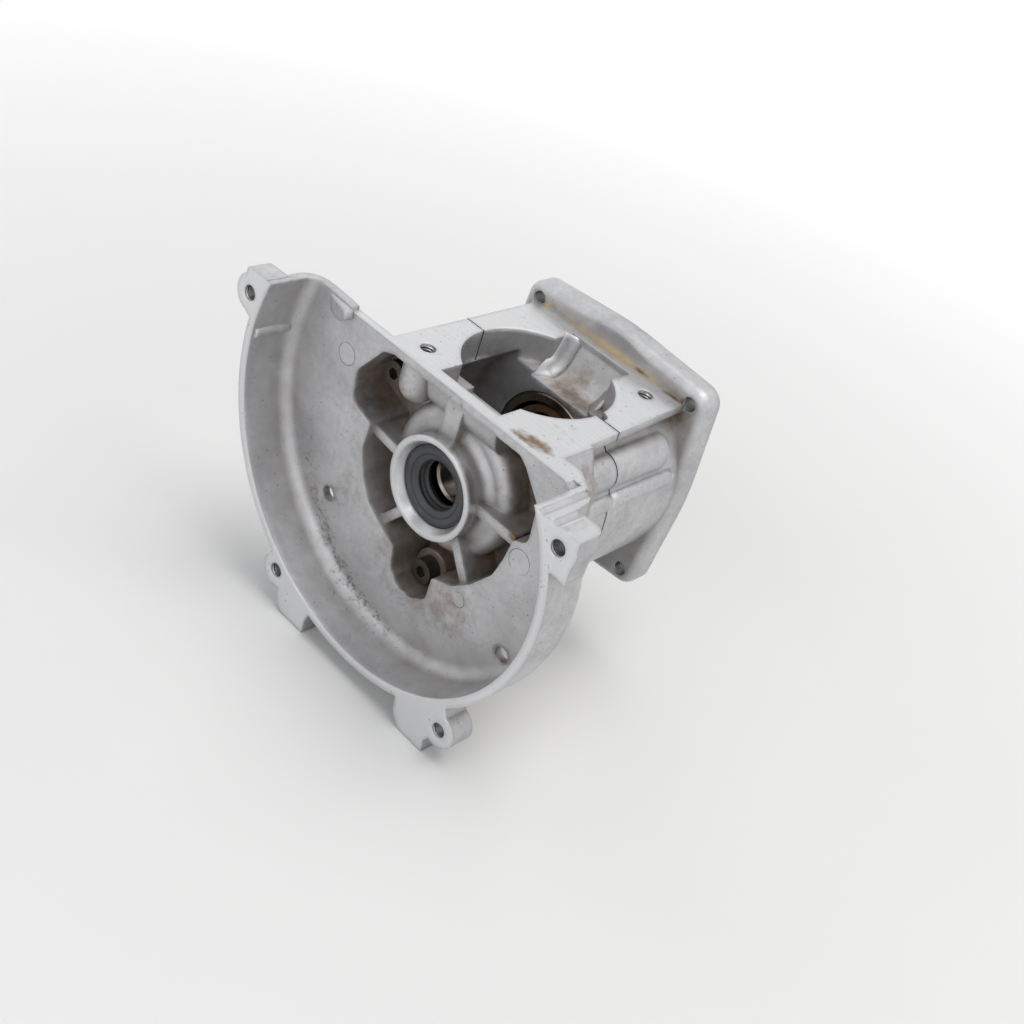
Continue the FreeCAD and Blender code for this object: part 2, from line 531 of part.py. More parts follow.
def cutMouth(body, side):
    """Spigot pocket, transfer slot with its scoop, and stud thread; side is -1 in front and 1 behind."""
    wall = "chamber_front" if side < 0 else "chamber_rear"
    addCylinder(body, "spigot_pocket", at("mouth_radius"), minus(at("deck_height"), at("mouth_depth")),
                at("deck_height", 1.0), role="XY_Plane", cut=True)
    scoop = newSketch(body, "YZ_Plane", at("slot_width", times=0.5), "scoop_profile")
    corners = [(at("slot_reach", times=side), at("deck_height", 1.0), 0),
               (at("slot_reach", times=side), minus(at("deck_height"), at("slot_lip")), 1.5),
               (at("slot_reach", -3.2 * side, side), minus(at("deck_height"), at("scoop_drop")), 6.0),
               (at(wall, -3.0 * side, side), minus(at("deck_height"), at("scoop_drop")), 0),
               (at(wall, -3.0 * side, side), at("deck_height", 1.0), 0)]
    drawLoop(scoop, corners)
    addFeature(body, "Pocket", scoop, "scoop", {"Length": at("slot_width")})
    addCylinder(body, "stud_thread", at("thread_drill", times=0.5),
                minus(at("deck_height"), at("stud_depth")), at("deck_height", 1.0),
                at("stud_x", times=side), at("stud_y", times=side), role="XY_Plane", cut=True)


def cutJoint(body, facing, holeRadius, holeEnd):
    """Screw and dowel holes across the split; facing is 1 for the front half and -1 for the rear half."""
    first, last = (-1.0, holeEnd) if facing > 0 else (at(*holeEnd), 1.0)
    circlePlate(body, "screw_holes", [(x, z, holeRadius) for x, z in screws.values()], first, last, cut=True)
    reach = at("dowel_length", 0.3, 0.5)
    first, last = (-1.0, reach) if facing > 0 else (minus(0.0, reach), 1.0)
    circlePlate(body, "dowel_holes", [(at("dowel_x", times=side), at("dowel_drop", times=-1),
                                       total(at("dowel_radius"), at("fit_play"))) for side in (-1, 1)],
                first, last, cut=True)


cutMouth(front, -1)
cutJoint(front, 1, at("screw_hole", times=0.5), at("screw_seat", 1.0))
circlePlate(front, "lug_threads", [(x, z, at("thread_drill", times=0.5)) for x, z in lugs.values()],
            minus(at("rim_depth", -1.0), at("block_lug_depth")), at("rim_depth", 1.0), cut=True)
circlePlate(front, "web_holes", [(x, z, at("web_hole", times=0.5)) for x, z in webHoles.values()],
            at("web_back", -1.0), at("web_depth", 1.0), cut=True)

# Rear half: round body, deck, bulges and starter flange.
rear = newBody("rear_case")
flange = newSketch(rear, "XZ_Plane", at("flange_back", times=-1), "flange_outline")
middleHalf, cornerHalf = at("flange_half"), minus(at("flange_half"), at("flange_bow"))
left, right = minus(0.0, cornerHalf), cornerHalf
drawLoop(flange, [(left, right, 0), (0.0, middleHalf, 0), (right, right, 0), (middleHalf, 0.0, 0),
                  (right, left, 0),
                  (0.0, minus(0.0, middleHalf), 0), (left, left, 0), (minus(0.0, middleHalf), 0.0, 0)])
addFeature(rear, "Pad", flange, "flange", {"Length": at("flange_thickness")})


def runsAlongY(edge):
    return edge.Curve.TypeId == "Part::GeomLine" and abs(edge.Curve.Direction.y) > 0.99


roundEdges(rear, "flange_corner_round", at("flange_corner"),
           lambda edge, middle: runsAlongY(edge) and min(abs(middle.x), abs(middle.z)) > 20)
roundEdges(rear, "flange_side_round", at("flange_side_radius"),
           lambda edge, middle: runsAlongY(edge) and min(abs(middle.x), abs(middle.z)) < 0.1)
roundEdges(rear, "flange_edge_round", at("flange_edge"),
           lambda edge, middle: abs(middle.y - size["flange_depth"]) < 0.01)
addCylinder(rear, "body_round", at("body_radius", -0.3), at("flange_depth", -1.0, -1),
            at("half_gasket", times=-1))
circlePlate(rear, "screw_bulges", [(x, z, at("screw_boss")) for x, z in screws.values()],
            at("bulge_end", times=-1),
            at("half_gasket", times=-1))
for side, (x, z) in screws.items():
    cap = newFeature(rear, "AdditiveCone", f"bulge_end_{side}")
    attach(cap, rear, "XZ_Plane", (x, z, at("bulge_end", -3.0, -1)))
    for key, length in (("Radius1", at("screw_boss", times=0.6)), ("Radius2", at("screw_boss")),
                        ("Height", 3.0)):
        setattr(cap, key, valueOf(length))
        bind(cap, key, length)
addBox(rear, "body_top", (-40.0, at("deck_height"), at("flange_depth", times=-1)),
       (80.0, 10.0, at("flange_depth", 2.0)),
       cut=True)
rearPlan = newSketch(rear, "XY_Plane", at("deck_height"), "deck_plan")
drawLoop(rearPlan, [(at("deck_left", times=-1), at("half_gasket"), 0), (deckMiddle, at("half_gasket"), 0),
                    (at("deck_right_rear"), at("flange_depth", 1.0), 0),
                    (at("deck_left", times=-1), at("flange_depth", 1.0), 0)])
addFeature(rear, "Pad", rearPlan, "deck_plate", {"Length": at("deck_thickness")}, Reversed=True)
revolve(rear, "starter_hollow", [(at("cavity_floor"), 0.0, 0),
                                 (at("cavity_floor"), at("starter_cavity"), 2.0),
                                 (at("flange_back", 1.0), at("starter_cavity"), 0),
                                 (at("flange_back", 1.0), 0.0, 0)],
        cut=True)
revolve(rear, "rear_boss", [(at("cavity_floor", -1.0), 0.0, 0),
                            (at("cavity_floor", -1.0), at("rear_boss_radius"), 0),
                            (at("rear_boss_depth"), at("rear_boss_radius"), 0),
                            (at("rear_boss_depth"), 0.0, 0)])
revolve(rear, "rear_bores", [(-1.0, 0.0, 0), (-1.0, at("chamber_radius"), 0),
                             (at("chamber_rear"), at("chamber_radius"), 0),
                             (at("chamber_rear"), at("bearing_radius"), 0),
                             (at("rear_bearing_depth"), at("bearing_radius"), 0),
                             (at("rear_bearing_depth"), at("seal_outer", times=0.5), 0),
                             (at("rear_boss_depth", 1.0), at("seal_outer", times=0.5), 0),
                             (at("rear_boss_depth", 1.0), 0.0, 0)], cut=True)
cutMouth(rear, 1)
addCylinder(rear, "key_notch", 2.4, minus(at("deck_height"), at("mouth_depth", times=0.8)),
            at("deck_height", 1.0),
            at("mouth_radius"), 0.6, role="XY_Plane", cut=True)
cutJoint(rear, -1, total(at("screw_size", times=0.5), at("fit_play")), ("screw_reach", -2.0, -1))
circlePlate(rear, "flange_threads", [(at("flange_hole_x", times=x), at("flange_hole_z", times=z),
                                      at("thread_drill", times=0.5))
                                     for x in (-1, 1) for z in (-1, 1)],
            at("flange_back", -1.0, -1), at("flange_depth", 1.0, -1), cut=True)

# Gasket with the section of the joint faces.
gasket = newBody("case_gasket")
addCylinder(gasket, "sheet_round", at("body_radius"), at("half_gasket", times=-1), at("half_gasket"))
for side, (x, z) in screws.items():
    addCylinder(gasket, f"sheet_bulge_{side}", at("screw_boss"), at("half_gasket", times=-1),
                at("half_gasket"), x, z)
addBox(gasket, "sheet_top", (-40.0, at("deck_height"), -1.0), (80.0, 10.0, 2.0), cut=True)
addBox(gasket, "sheet_arms", (at("deck_left", times=-1), minus(at("deck_height"), at("deck_thickness")),
                              at("half_gasket", times=-1)),
       (total(at("deck_left"), deckMiddle), at("deck_thickness"), at("gasket_thickness")))
addBox(gasket, "sheet_posts", (at("mouth_radius", 1.6, -1), at("deck_height", times=0.6),
                               at("half_gasket", times=-1)),
       (at("mouth_radius", 3.2, 2), at("deck_height", times=0.4), at("gasket_thickness")))
addCylinder(gasket, "chamber_opening", at("chamber_radius"), -1.0, 1.0, cut=True)
addCylinder(gasket, "mouth_opening", at("mouth_radius"), minus(at("deck_height"), at("mouth_depth")),
            at("deck_height", 1.0), role="XY_Plane", cut=True)
for side, (x, z) in screws.items():
    addCylinder(gasket, f"screw_opening_{side}", at("screw_hole", times=0.5), -1.0, 1.0, x, z, cut=True)
for side in (-1, 1):
    addCylinder(gasket, f"dowel_opening_{side + 2}", total(at("dowel_radius"), at("fit_play")), -1.0, 1.0,
                at("dowel_x", times=side), at("dowel_drop", times=-1), cut=True)

# Hollow dowels and the three screws that hold the halves together.
dowels = []
for side, name in ((-1, "left_dowel"), (1, "right_dowel")):
    dowel = newBody(name)
    x, z = at("dowel_x", times=side), at("dowel_drop", times=-1)
    half = at("dowel_length", times=0.5)
    addCylinder(dowel, "tube", at("dowel_radius"), minus(0.0, half), half, x, z)
    addCylinder(dowel, "bore", at("dowel_bore"), minus(-1.0, half), total(half, 1.0), x, z, cut=True)
    dowels.append(dowel)
screwBodies = []
for side, (x, z) in screws.items():
    screw = newBody(f"{side}_screw")
    headFace = total(at("screw_seat"), at("screw_head_height"))
    addCylinder(screw, "shank", at("screw_size", times=0.5), at("screw_reach", times=-1),
                at("screw_seat", 0.5), x, z)
    addCylinder(screw, "head", at("screw_head", times=0.5), at("screw_seat"), headFace, x, z)
    socket = newFeature(screw, "SubtractivePrism", "hexagon_socket")
    attach(socket, screw, "XZ_Plane", (x, z, minus(headFace, at("socket_depth"))))
    socket.Polygon = 6
    for key, length in (("Circumradius", at("socket_size", times=1 / math.sqrt(3))),
                        ("Height", at("socket_depth", 1.0))):
        setattr(socket, key, valueOf(length))
        bind(socket, key, length)
    screwBodies.append(screw)
caseScrews = document.addObject("Part::Compound", "case_screws")
caseScrews.Links = screwBodies

# Ball bearings: the front one ends the chamber in front, the rear one behind.
bearings = {"front": at("chamber_front", times=1), "rear": minus(0.0, at("rear_bearing_depth"))}
bearingNodes = []
for place, start in bearings.items():
    middle = total(start, at("bearing_width", times=0.5))
    depths = [minus(0.0, start), minus(0.0, total(start, at("bearing_width")))]
    outside = minus(at("bearing_radius"), at("fit_play"))
    bottom = total(at("ball_size", times=0.5), at("ball_play"))
    for name, inner, outer, chamfered, centre in (
            ("outer", at("outer_land"), outside, 1,
             total(at("ball_pitch", times=0.5), minus(bottom, at("groove_radius")))),
            ("inner", at("bearing_bore", times=0.5), at("inner_land"), 0,
             minus(total(at("ball_pitch", times=0.5), at("groove_radius")), bottom))):
        race = newBody(f"{place}_{name}_race")
        bevel = at("race_chamfer")
        edge, lean = (outer, minus(outer, bevel)) if chamfered else (inner, total(inner, bevel))
        other = inner if chamfered else outer
        revolve(race, "ring", [(depths[0], other, 0), (depths[0], lean, 0),
                               (minus(depths[0], bevel), edge, 0), (total(depths[1], bevel), edge, 0),
                               (depths[1], lean, 0), (depths[1], other, 0)])
        addRing(race, "ball_groove", centre, at("groove_radius"), middle, cut=True)
        bearingNodes.append(race)
    cage = newBody(f"{place}_cage")
    halfCage = at("cage_width", times=0.5)
    addCylinder(cage, "cage_ring", at("cage_outer"), minus(middle, halfCage), total(middle, halfCage))
    addCylinder(cage, "cage_opening", at("cage_inner"), minus(middle, total(halfCage, 1.0)),
                total(middle, total(halfCage, 1.0)), cut=True)
    pocket = addCylinder(cage, "pocket", total(at("ball_size", times=0.5), at("cage_play")),
                         at("cage_inner", -2.0), at("cage_outer", 2.0), minus(0.0, middle), 0.0,
                         role="YZ_Plane", cut=True)
    pockets = newFeature(cage, "PolarPattern", "pockets")
    pockets.Originals = [pocket]
    pockets.Axis = (originPlane(cage, "Y_Axis"), [""])
    pockets.Angle = 360.0
    pockets.Occurrences = ballCount
    cage.Tip = pockets
    bearingNodes.append(cage)
    for number in range(ballCount):
        angle = 2 * math.pi * number / ballCount
        x, z = at("ball_pitch", times=0.5 * math.cos(angle)), at("ball_pitch", times=0.5 * math.sin(angle))
        ball = newBody(f"{place}_ball_{number + 1}")
        addBall(ball, "ball", at("ball_size", times=0.5), x, z, middle)
        bearingNodes.append(ball)

# Shaft seals: a bonded outer ring, a thin wall and a lip with a garter on its back.
sealNodes = []
for place, face, inward in (("front", at("front_seal_depth", times=-1), 1),
                            ("rear", at("rear_seal_depth"), -1)):
    seal = newBody(f"{place}_seal")
    rimRadius = minus(at("seal_outer", times=0.5), at("fit_play"))
    lip = at("seal_lip", times=0.5)
    garter = total(lip, 2.0)
    profile = [(0.5, 0.0, rimRadius), (0.0, 0.0, minus(rimRadius, 0.5)), (0.0, 0.0, total(lip, 2.6)),
               (1.1, 0.0, total(lip, 0.5)), (1.5, 0.0, total(lip, 0.5)), (2.3, 0.0, total(lip, 1.3)),
               (4.1, 0.0, lip), (6.3, 0.0, total(lip, 1.4)), (6.3, 0.0, garter), (3.4, 0.0, garter),
               (2.6, 0.0, total(garter, 0.6)), (2.6, 0.0, minus(rimRadius, 1.4)),
               (0.0, 1.0, minus(rimRadius, 1.4)), (0.0, 1.0, minus(rimRadius, 0.4)), (-0.8, 1.0, rimRadius)]
    revolve(seal, "rubber", [(total(face, inward * step, at("seal_width", times=inward * share)), radius, 0)
                             for step, share, radius in profile])
    springDepth = minus(0.0, total(face, 5.0 * inward))
    addRing(seal, "garter_groove", garter, at("seal_spring"), springDepth, cut=True)
    spring = newBody(f"{place}_seal_spring")
    addRing(spring, "garter", garter, minus(at("seal_spring"), at("fit_play")), springDepth)
    sealNodes += [seal, spring]

document.recompute()
nodes = [front, rear, gasket, caseScrews] + dowels + sealNodes + bearingNodes
failed = [item.Label for item in document.Objects if "Invalid" in item.State or "Error" in item.State]
failed += [item.Label for item in nodes if item.Shape.isNull() or not item.Shape.isValid()]
if failed:
    raise ValueError(f"these did not build: {failed}")

os.makedirs("parts", exist_ok=True)
for item in nodes:
    item.Shape.exportStep(f"parts/{item.Label}.step")
print(f"{len(nodes)} nodes written")
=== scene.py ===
import math
import bpy
import numpy as np
from mathutils import Matrix, Vector


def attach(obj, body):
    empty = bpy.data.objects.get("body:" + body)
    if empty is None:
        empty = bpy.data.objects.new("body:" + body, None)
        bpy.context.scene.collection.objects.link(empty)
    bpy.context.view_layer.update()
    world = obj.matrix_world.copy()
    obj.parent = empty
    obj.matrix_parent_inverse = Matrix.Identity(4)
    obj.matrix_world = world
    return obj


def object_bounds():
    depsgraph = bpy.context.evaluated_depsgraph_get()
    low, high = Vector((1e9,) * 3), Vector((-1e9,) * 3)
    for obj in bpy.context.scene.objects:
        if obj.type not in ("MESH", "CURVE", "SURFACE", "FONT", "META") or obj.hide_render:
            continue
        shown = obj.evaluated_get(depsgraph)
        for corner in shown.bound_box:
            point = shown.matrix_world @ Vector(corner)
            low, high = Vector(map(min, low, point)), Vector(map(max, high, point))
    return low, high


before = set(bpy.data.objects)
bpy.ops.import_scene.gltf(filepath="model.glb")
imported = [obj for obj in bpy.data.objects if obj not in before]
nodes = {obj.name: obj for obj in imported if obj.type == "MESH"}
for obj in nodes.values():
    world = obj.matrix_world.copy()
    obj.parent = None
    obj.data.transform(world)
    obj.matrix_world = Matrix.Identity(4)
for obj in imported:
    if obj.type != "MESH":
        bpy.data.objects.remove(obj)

cadBox = [list(corner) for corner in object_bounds()]
print("frame loaded")


def treeOf(material):
    material.use_nodes = True
    material.node_tree.nodes.clear()
    return material.node_tree


def addNode(tree, kind, settings=None, **links):
    # settings are attributes; links set sockets by name, to a value or from another node's output
    node = tree.nodes.new(kind)
    for key, setting in (settings or {}).items():
        setattr(node, key, setting)
    for name, source in links.items():
        connect(tree, source, node, name.replace("_", " "))
    return node


def socketOf(sockets, name):
    return sockets[int(name[1:])] if name[0] == "i" and name[1:].isdigit() else sockets[name]


def connect(tree, source, node, name):
    target = socketOf(node.inputs, name)
    if isinstance(source, bpy.types.NodeSocket):
        tree.links.new(source, target)
    elif isinstance(source, bpy.types.Node):
        tree.links.new(source.outputs[0], target)
    else:
        target.default_value = source


def sums(tree, operation, first, second=0.0, clamp=False):
    settings = {"operation": operation, "use_clamp": clamp}
    return addNode(tree, "ShaderNodeMath", settings, i0=first, i1=second).outputs[0]


def product(tree, *factors):
    result = factors[0]
    for factor in factors[1:]:
        result = sums(tree, "MULTIPLY", result, factor)
    return result


def arrows(tree, operation, first, second=(0.0, 0.0, 0.0)):
    return addNode(tree, "ShaderNodeVectorMath", {"operation": operation}, i0=first, i1=second)


def mixColor(tree, mask, first, second, blend="MIX"):
    node = addNode(tree, "ShaderNodeMix", {"data_type": "RGBA", "blend_type": blend})
    connect(tree, mask, node, "i0")
    connect(tree, first, node, "i6")
    connect(tree, second, node, "i7")
    return node.outputs[2]


def mixValue(tree, mask, first, second):
    node = addNode(tree, "ShaderNodeMix", {"data_type": "FLOAT"})
    connect(tree, mask, node, "i0")
    connect(tree, first, node, "i2")
    connect(tree, second, node, "i3")
    return node.outputs[0]


def ramp(tree, value, low, high):
    # 0 below low, 1 above high, straight in between
    node = addNode(tree, "ShaderNodeMapRange", {"clamp": True}, i0=value, i1=low, i2=high, i3=0.0, i4=1.0)
    return node.outputs[0]


def noise(tree, place, scale, detail=3.0, roughness=0.5, distortion=0.0):
    node = addNode(tree, "ShaderNodeTexNoise", {}, Vector=place, Scale=scale, Detail=detail,
                   Roughness=roughness, Distortion=distortion)
    return node.outputs[0]


def objectPlace(tree):
    return addNode(tree, "ShaderNodeTexCoord").outputs["Object"]


def newGroup(name, inputs, outputs):
    group = bpy.data.node_groups.new(name, "ShaderNodeTree")
    for title, value in inputs:
        kind = "NodeSocketVector" if isinstance(value, tuple) else "NodeSocketFloat"
        group.interface.new_socket(name=title, in_out="INPUT", socket_type=kind).default_value = value
    for title in outputs:
        group.interface.new_socket(name=title, in_out="OUTPUT", socket_type="NodeSocketFloat")
    return group, group.nodes.new("NodeGroupInput").outputs, group.nodes.new("NodeGroupOutput")


def useGroup(tree, group, **values):
    node = tree.nodes.new("ShaderNodeGroup")
    node.node_tree = group
    for name, value in values.items():
        connect(tree, value, node, name.replace("_", " "))
    return node.outputs


# In the dictionaries below a noise is scale, detail, roughness and distortion, and a span is a ramp's two ends.
cornerShadeAndDirtLook = {"blotch": (260.0, 5.0, 0.6), "blotchSpan": (0.3, 0.7), "hiddenSpan": (0.15, 0.8)}


def cornerShadeAndDirtGroup():
    # painted shade and dirt in corners: how little of its surroundings a point sees, broken up by noise
    group, given, result = newGroup("painted shade and dirt in corners", [("Reach", 0.006), ("Amount", 0.6)], ["Mask"])
    place = objectPlace(group)
    seen = addNode(group, "ShaderNodeAmbientOcclusion", {"samples": 1, "only_local": True},
                   Distance=given["Reach"])
    hidden = sums(group, "SUBTRACT", 1.0, seen.outputs["AO"], clamp=True)
    blotch = ramp(group, noise(group, place, *cornerShadeAndDirtLook["blotch"]), *cornerShadeAndDirtLook["blotchSpan"])
    deep = ramp(group, hidden, *cornerShadeAndDirtLook["hiddenSpan"])
    connect(group, product(group, deep, blotch, given["Amount"]), result, "Mask")
    return group


wearLook = {"patches": (420.0, 4.0, 0.6), "patchSpan": (0.3, 0.6), "turnSpan": (0.03, 0.2)}


def wearGroup():
    # bright rubbed edges: where the rounded normal turns away from the face's own, patchy along the edge
    group, given, result = newGroup("rubbed edges", [("Width", 0.0004), ("Amount", 0.7)], ["Mask"])
    flat = addNode(group, "ShaderNodeNewGeometry").outputs["True Normal"]
    rounded = addNode(group, "ShaderNodeBevel", {"samples": 2}, Radius=given["Width"])
    alike = arrows(group, "DOT_PRODUCT", flat, rounded.outputs[0]).outputs["Value"]
    turned = sums(group, "SUBTRACT", 1.0, alike)
    patchy = ramp(group, noise(group, objectPlace(group), *wearLook["patches"]), *wearLook["patchSpan"])
    edge = ramp(group, turned, *wearLook["turnSpan"])
    connect(group, product(group, edge, patchy, given["Amount"]), result, "Mask")
    return group


stainLook = {"torn": (330.0, 5.0, 0.65), "tear": 1.6, "span": (0.3, 1.05)}


def stainGroup():
    # a soft stain round one place, with a torn edge
    group, given, result = newGroup("stain at a place",
                                    [("Place", (0.0, 0.0, 0.0)), ("Stretch", (1.0, 1.0, 1.0)),
                                     ("Radius", 0.01)], ["Mask"])
    place = objectPlace(group)
    away = arrows(group, "DIVIDE", arrows(group, "SUBTRACT", place, given["Place"]), given["Stretch"])
    share = sums(group, "DIVIDE", arrows(group, "LENGTH", away).outputs["Value"], given["Radius"])
    swing = sums(group, "SUBTRACT", noise(group, place, *stainLook["torn"]), 0.5)
    torn = product(group, swing, stainLook["tear"])
    reach = ramp(group, sums(group, "ADD", share, torn), *stainLook["span"])
    connect(group, sums(group, "SUBTRACT", 1.0, reach), result, "Mask")
    return group


skinLook = {
    "fine": (3.0, 0.65),
    "broad": (75.0, 4.0, 0.55, 0.4),
    "mottle": (520.0, 4.0, 0.7),
    "patches": (95.0, 3.0, 0.6),
    "patchSpan": (0.54, 0.66),
    "dotScale": 950.0,
    "dotSpan": (0.1, 0.24),
    "speckScale": 310.0,
    "speckSpan": (0.05, 0.1),
    "speckShare": 0.8,
    "heightShares": {"fine": 0.8, "broad": 1.1, "pits": 0.6},
    "toneShares": {"broad": 0.45, "mottle": 0.4, "fine": 0.15},
}


def castGroup():
    # skin of a die casting: fine grain, soft cloudy tone, pits in patches and scattered dark specks
    look = skinLook
    heights, tones = look["heightShares"], look["toneShares"]
    group, given, result = newGroup("cast skin", [("Grain Scale", 2300.0)], ["Height", "Tone", "Pits"])
    place = objectPlace(group)
    fine = noise(group, place, given["Grain Scale"], *look["fine"])
    broad = noise(group, place, *look["broad"])
    cells = addNode(group, "ShaderNodeTexVoronoi", {"feature": "F1"}, Vector=place, Scale=look["dotScale"])
    dots = sums(group, "SUBTRACT", 1.0, ramp(group, cells.outputs["Distance"], *look["dotSpan"]))
    patches = ramp(group, noise(group, place, *look["patches"]), *look["patchSpan"])
    specks = addNode(group, "ShaderNodeTexVoronoi", {"feature": "F1"}, Vector=place, Scale=look["speckScale"])
    lone = sums(group, "SUBTRACT", 1.0, ramp(group, specks.outputs["Distance"], *look["speckSpan"]))
    pits = sums(group, "MAXIMUM", product(group, dots, patches), product(group, lone, look["speckShare"]))
    grain = sums(group, "ADD", product(group, fine, heights["fine"]), product(group, broad, heights["broad"]))
    height = sums(group, "SUBTRACT", grain, product(group, pits, heights["pits"]))
    connect(group, height, result, "Height")
    mottle = noise(group, place, *look["mottle"])
    tone = sums(group, "ADD", product(group, broad, tones["broad"]), product(group, mottle, tones["mottle"]))
    connect(group, sums(group, "ADD", tone, product(group, fine, tones["fine"])), result, "Tone")
    connect(group, pits, result, "Pits")
    return group


milledLook = {"offLimit": 0.00012, "facingSpan": (0.9, 0.99)}


def machinedGroup():
    # a milled face: its normal lies along an axis and its place at one level on it
    group, given, result = newGroup("milled face", [("Axis", (0.0, 0.0, 1.0)), ("Level", 0.0)], ["Mask"])
    spot = addNode(group, "ShaderNodeTexCoord").outputs
    facing = arrows(group, "DOT_PRODUCT", spot["Normal"], given["Axis"]).outputs["Value"]
    along = arrows(group, "DOT_PRODUCT", spot["Object"], given["Axis"]).outputs["Value"]
    off = sums(group, "ABSOLUTE", sums(group, "SUBTRACT", along, given["Level"]))
    level = sums(group, "LESS_THAN", off, milledLook["offLimit"])
    square = ramp(group, facing, *milledLook["facingSpan"])
    connect(group, product(group, level, square), result, "Mask")
    return group


def turnedGroup():
    # a surface cut on a lathe round the crank axis: inside one radius and between two depths
    group, given, result = newGroup("turned bore", [("Radius", 0.013), ("From", -0.03), ("To", -0.02)],
                                    ["Mask"])
    parts = addNode(group, "ShaderNodeSeparateXYZ", {}, Vector=objectPlace(group)).outputs
    across = addNode(group, "ShaderNodeCombineXYZ", {}, X=parts["X"], Y=0.0, Z=parts["Z"])
    inside = sums(group, "LESS_THAN", arrows(group, "LENGTH", across).outputs["Value"], given["Radius"])
    behind = sums(group, "GREATER_THAN", parts["Y"], given["From"])
    before = sums(group, "LESS_THAN", parts["Y"], given["To"])
    connect(group, product(group, inside, behind, before), result, "Mask")
    return group


ringLook = {"worn": (240.0, 2.0), "wornSpan": (0.38, 0.52), "grooveSpan": (0.00004, 0.00016)}


def ringGroup():
    # the round outline that an ejector pin leaves: a thin groove at one radius, and the disc inside it
    group, given, result = newGroup("ejector mark", [("Place", (0.0, 0.0, 0.0)), ("Radius", 0.003)],
                                    ["Groove", "Disc"])
    offset = arrows(group, "SUBTRACT", objectPlace(group), given["Place"])
    away = arrows(group, "LENGTH", offset).outputs["Value"]
    off = sums(group, "ABSOLUTE", sums(group, "SUBTRACT", away, given["Radius"]))
    worn = ramp(group, noise(group, objectPlace(group), *ringLook["worn"]), *ringLook["wornSpan"])
    groove = sums(group, "SUBTRACT", 1.0, ramp(group, off, *ringLook["grooveSpan"]))
    connect(group, product(group, groove, worn), result, "Groove")
    connect(group, sums(group, "LESS_THAN", away, given["Radius"]), result, "Disc")
    return group


bandLook = {
    "speckle": (640.0, 6.0, 0.8),
    "depthSpan": (0.004, 0.009),
    "sideSpan": (0.3, 0.95),
    "need": 0.68,
    "needShare": 0.24,
    "shownSpan": (0.0, 0.14),
    "coverSpan": (0.0, 0.15),
}


def bandGroup():
    # black speckled dirt along a circle round the crank axis, thickest at one side of it
    group, given, result = newGroup("speckled band",
                                    [("Centre", (0.0, -0.03, 0.0)), ("Radius", 0.047), ("Width", 0.003),
                                     ("Side", (-0.5, 0.0, -0.8))], ["Mask"])
    place = objectPlace(group)
    away = arrows(group, "SUBTRACT", place, given["Centre"])
    flat = arrows(group, "MULTIPLY", away, (1.0, 0.0, 1.0))
    across = arrows(group, "LENGTH", flat).outputs["Value"]
    off = sums(group, "ABSOLUTE", sums(group, "SUBTRACT", across, given["Radius"]))
    near = sums(group, "SUBTRACT", 1.0, ramp(group, off, 0.0, given["Width"]))
    facing = arrows(group, "DOT_PRODUCT", arrows(group, "NORMALIZE", flat), given["Side"]).outputs["Value"]
    depth = sums(group, "ABSOLUTE", addNode(group, "ShaderNodeSeparateXYZ", {}, Vector=away).outputs["Y"])
    low = sums(group, "SUBTRACT", 1.0, ramp(group, depth, *bandLook["depthSpan"]))
    cover = product(group, near, ramp(group, facing, *bandLook["sideSpan"]), low)
    speckle = noise(group, place, *bandLook["speckle"])
    need = sums(group, "SUBTRACT", bandLook["need"], product(group, cover, bandLook["needShare"]))
    shown = ramp(group, sums(group, "SUBTRACT", speckle, need), *bandLook["shownSpan"])
    connect(group, product(group, shown, ramp(group, cover, *bandLook["coverSpan"])), result, "Mask")
    return group


cornerShadeAndDirt, wear, stain, castSkin = cornerShadeAndDirtGroup(), wearGroup(), stainGroup(), castGroup()
machined, turned, pinMark, speckled = machinedGroup(), turnedGroup(), ringGroup(), bandGroup()

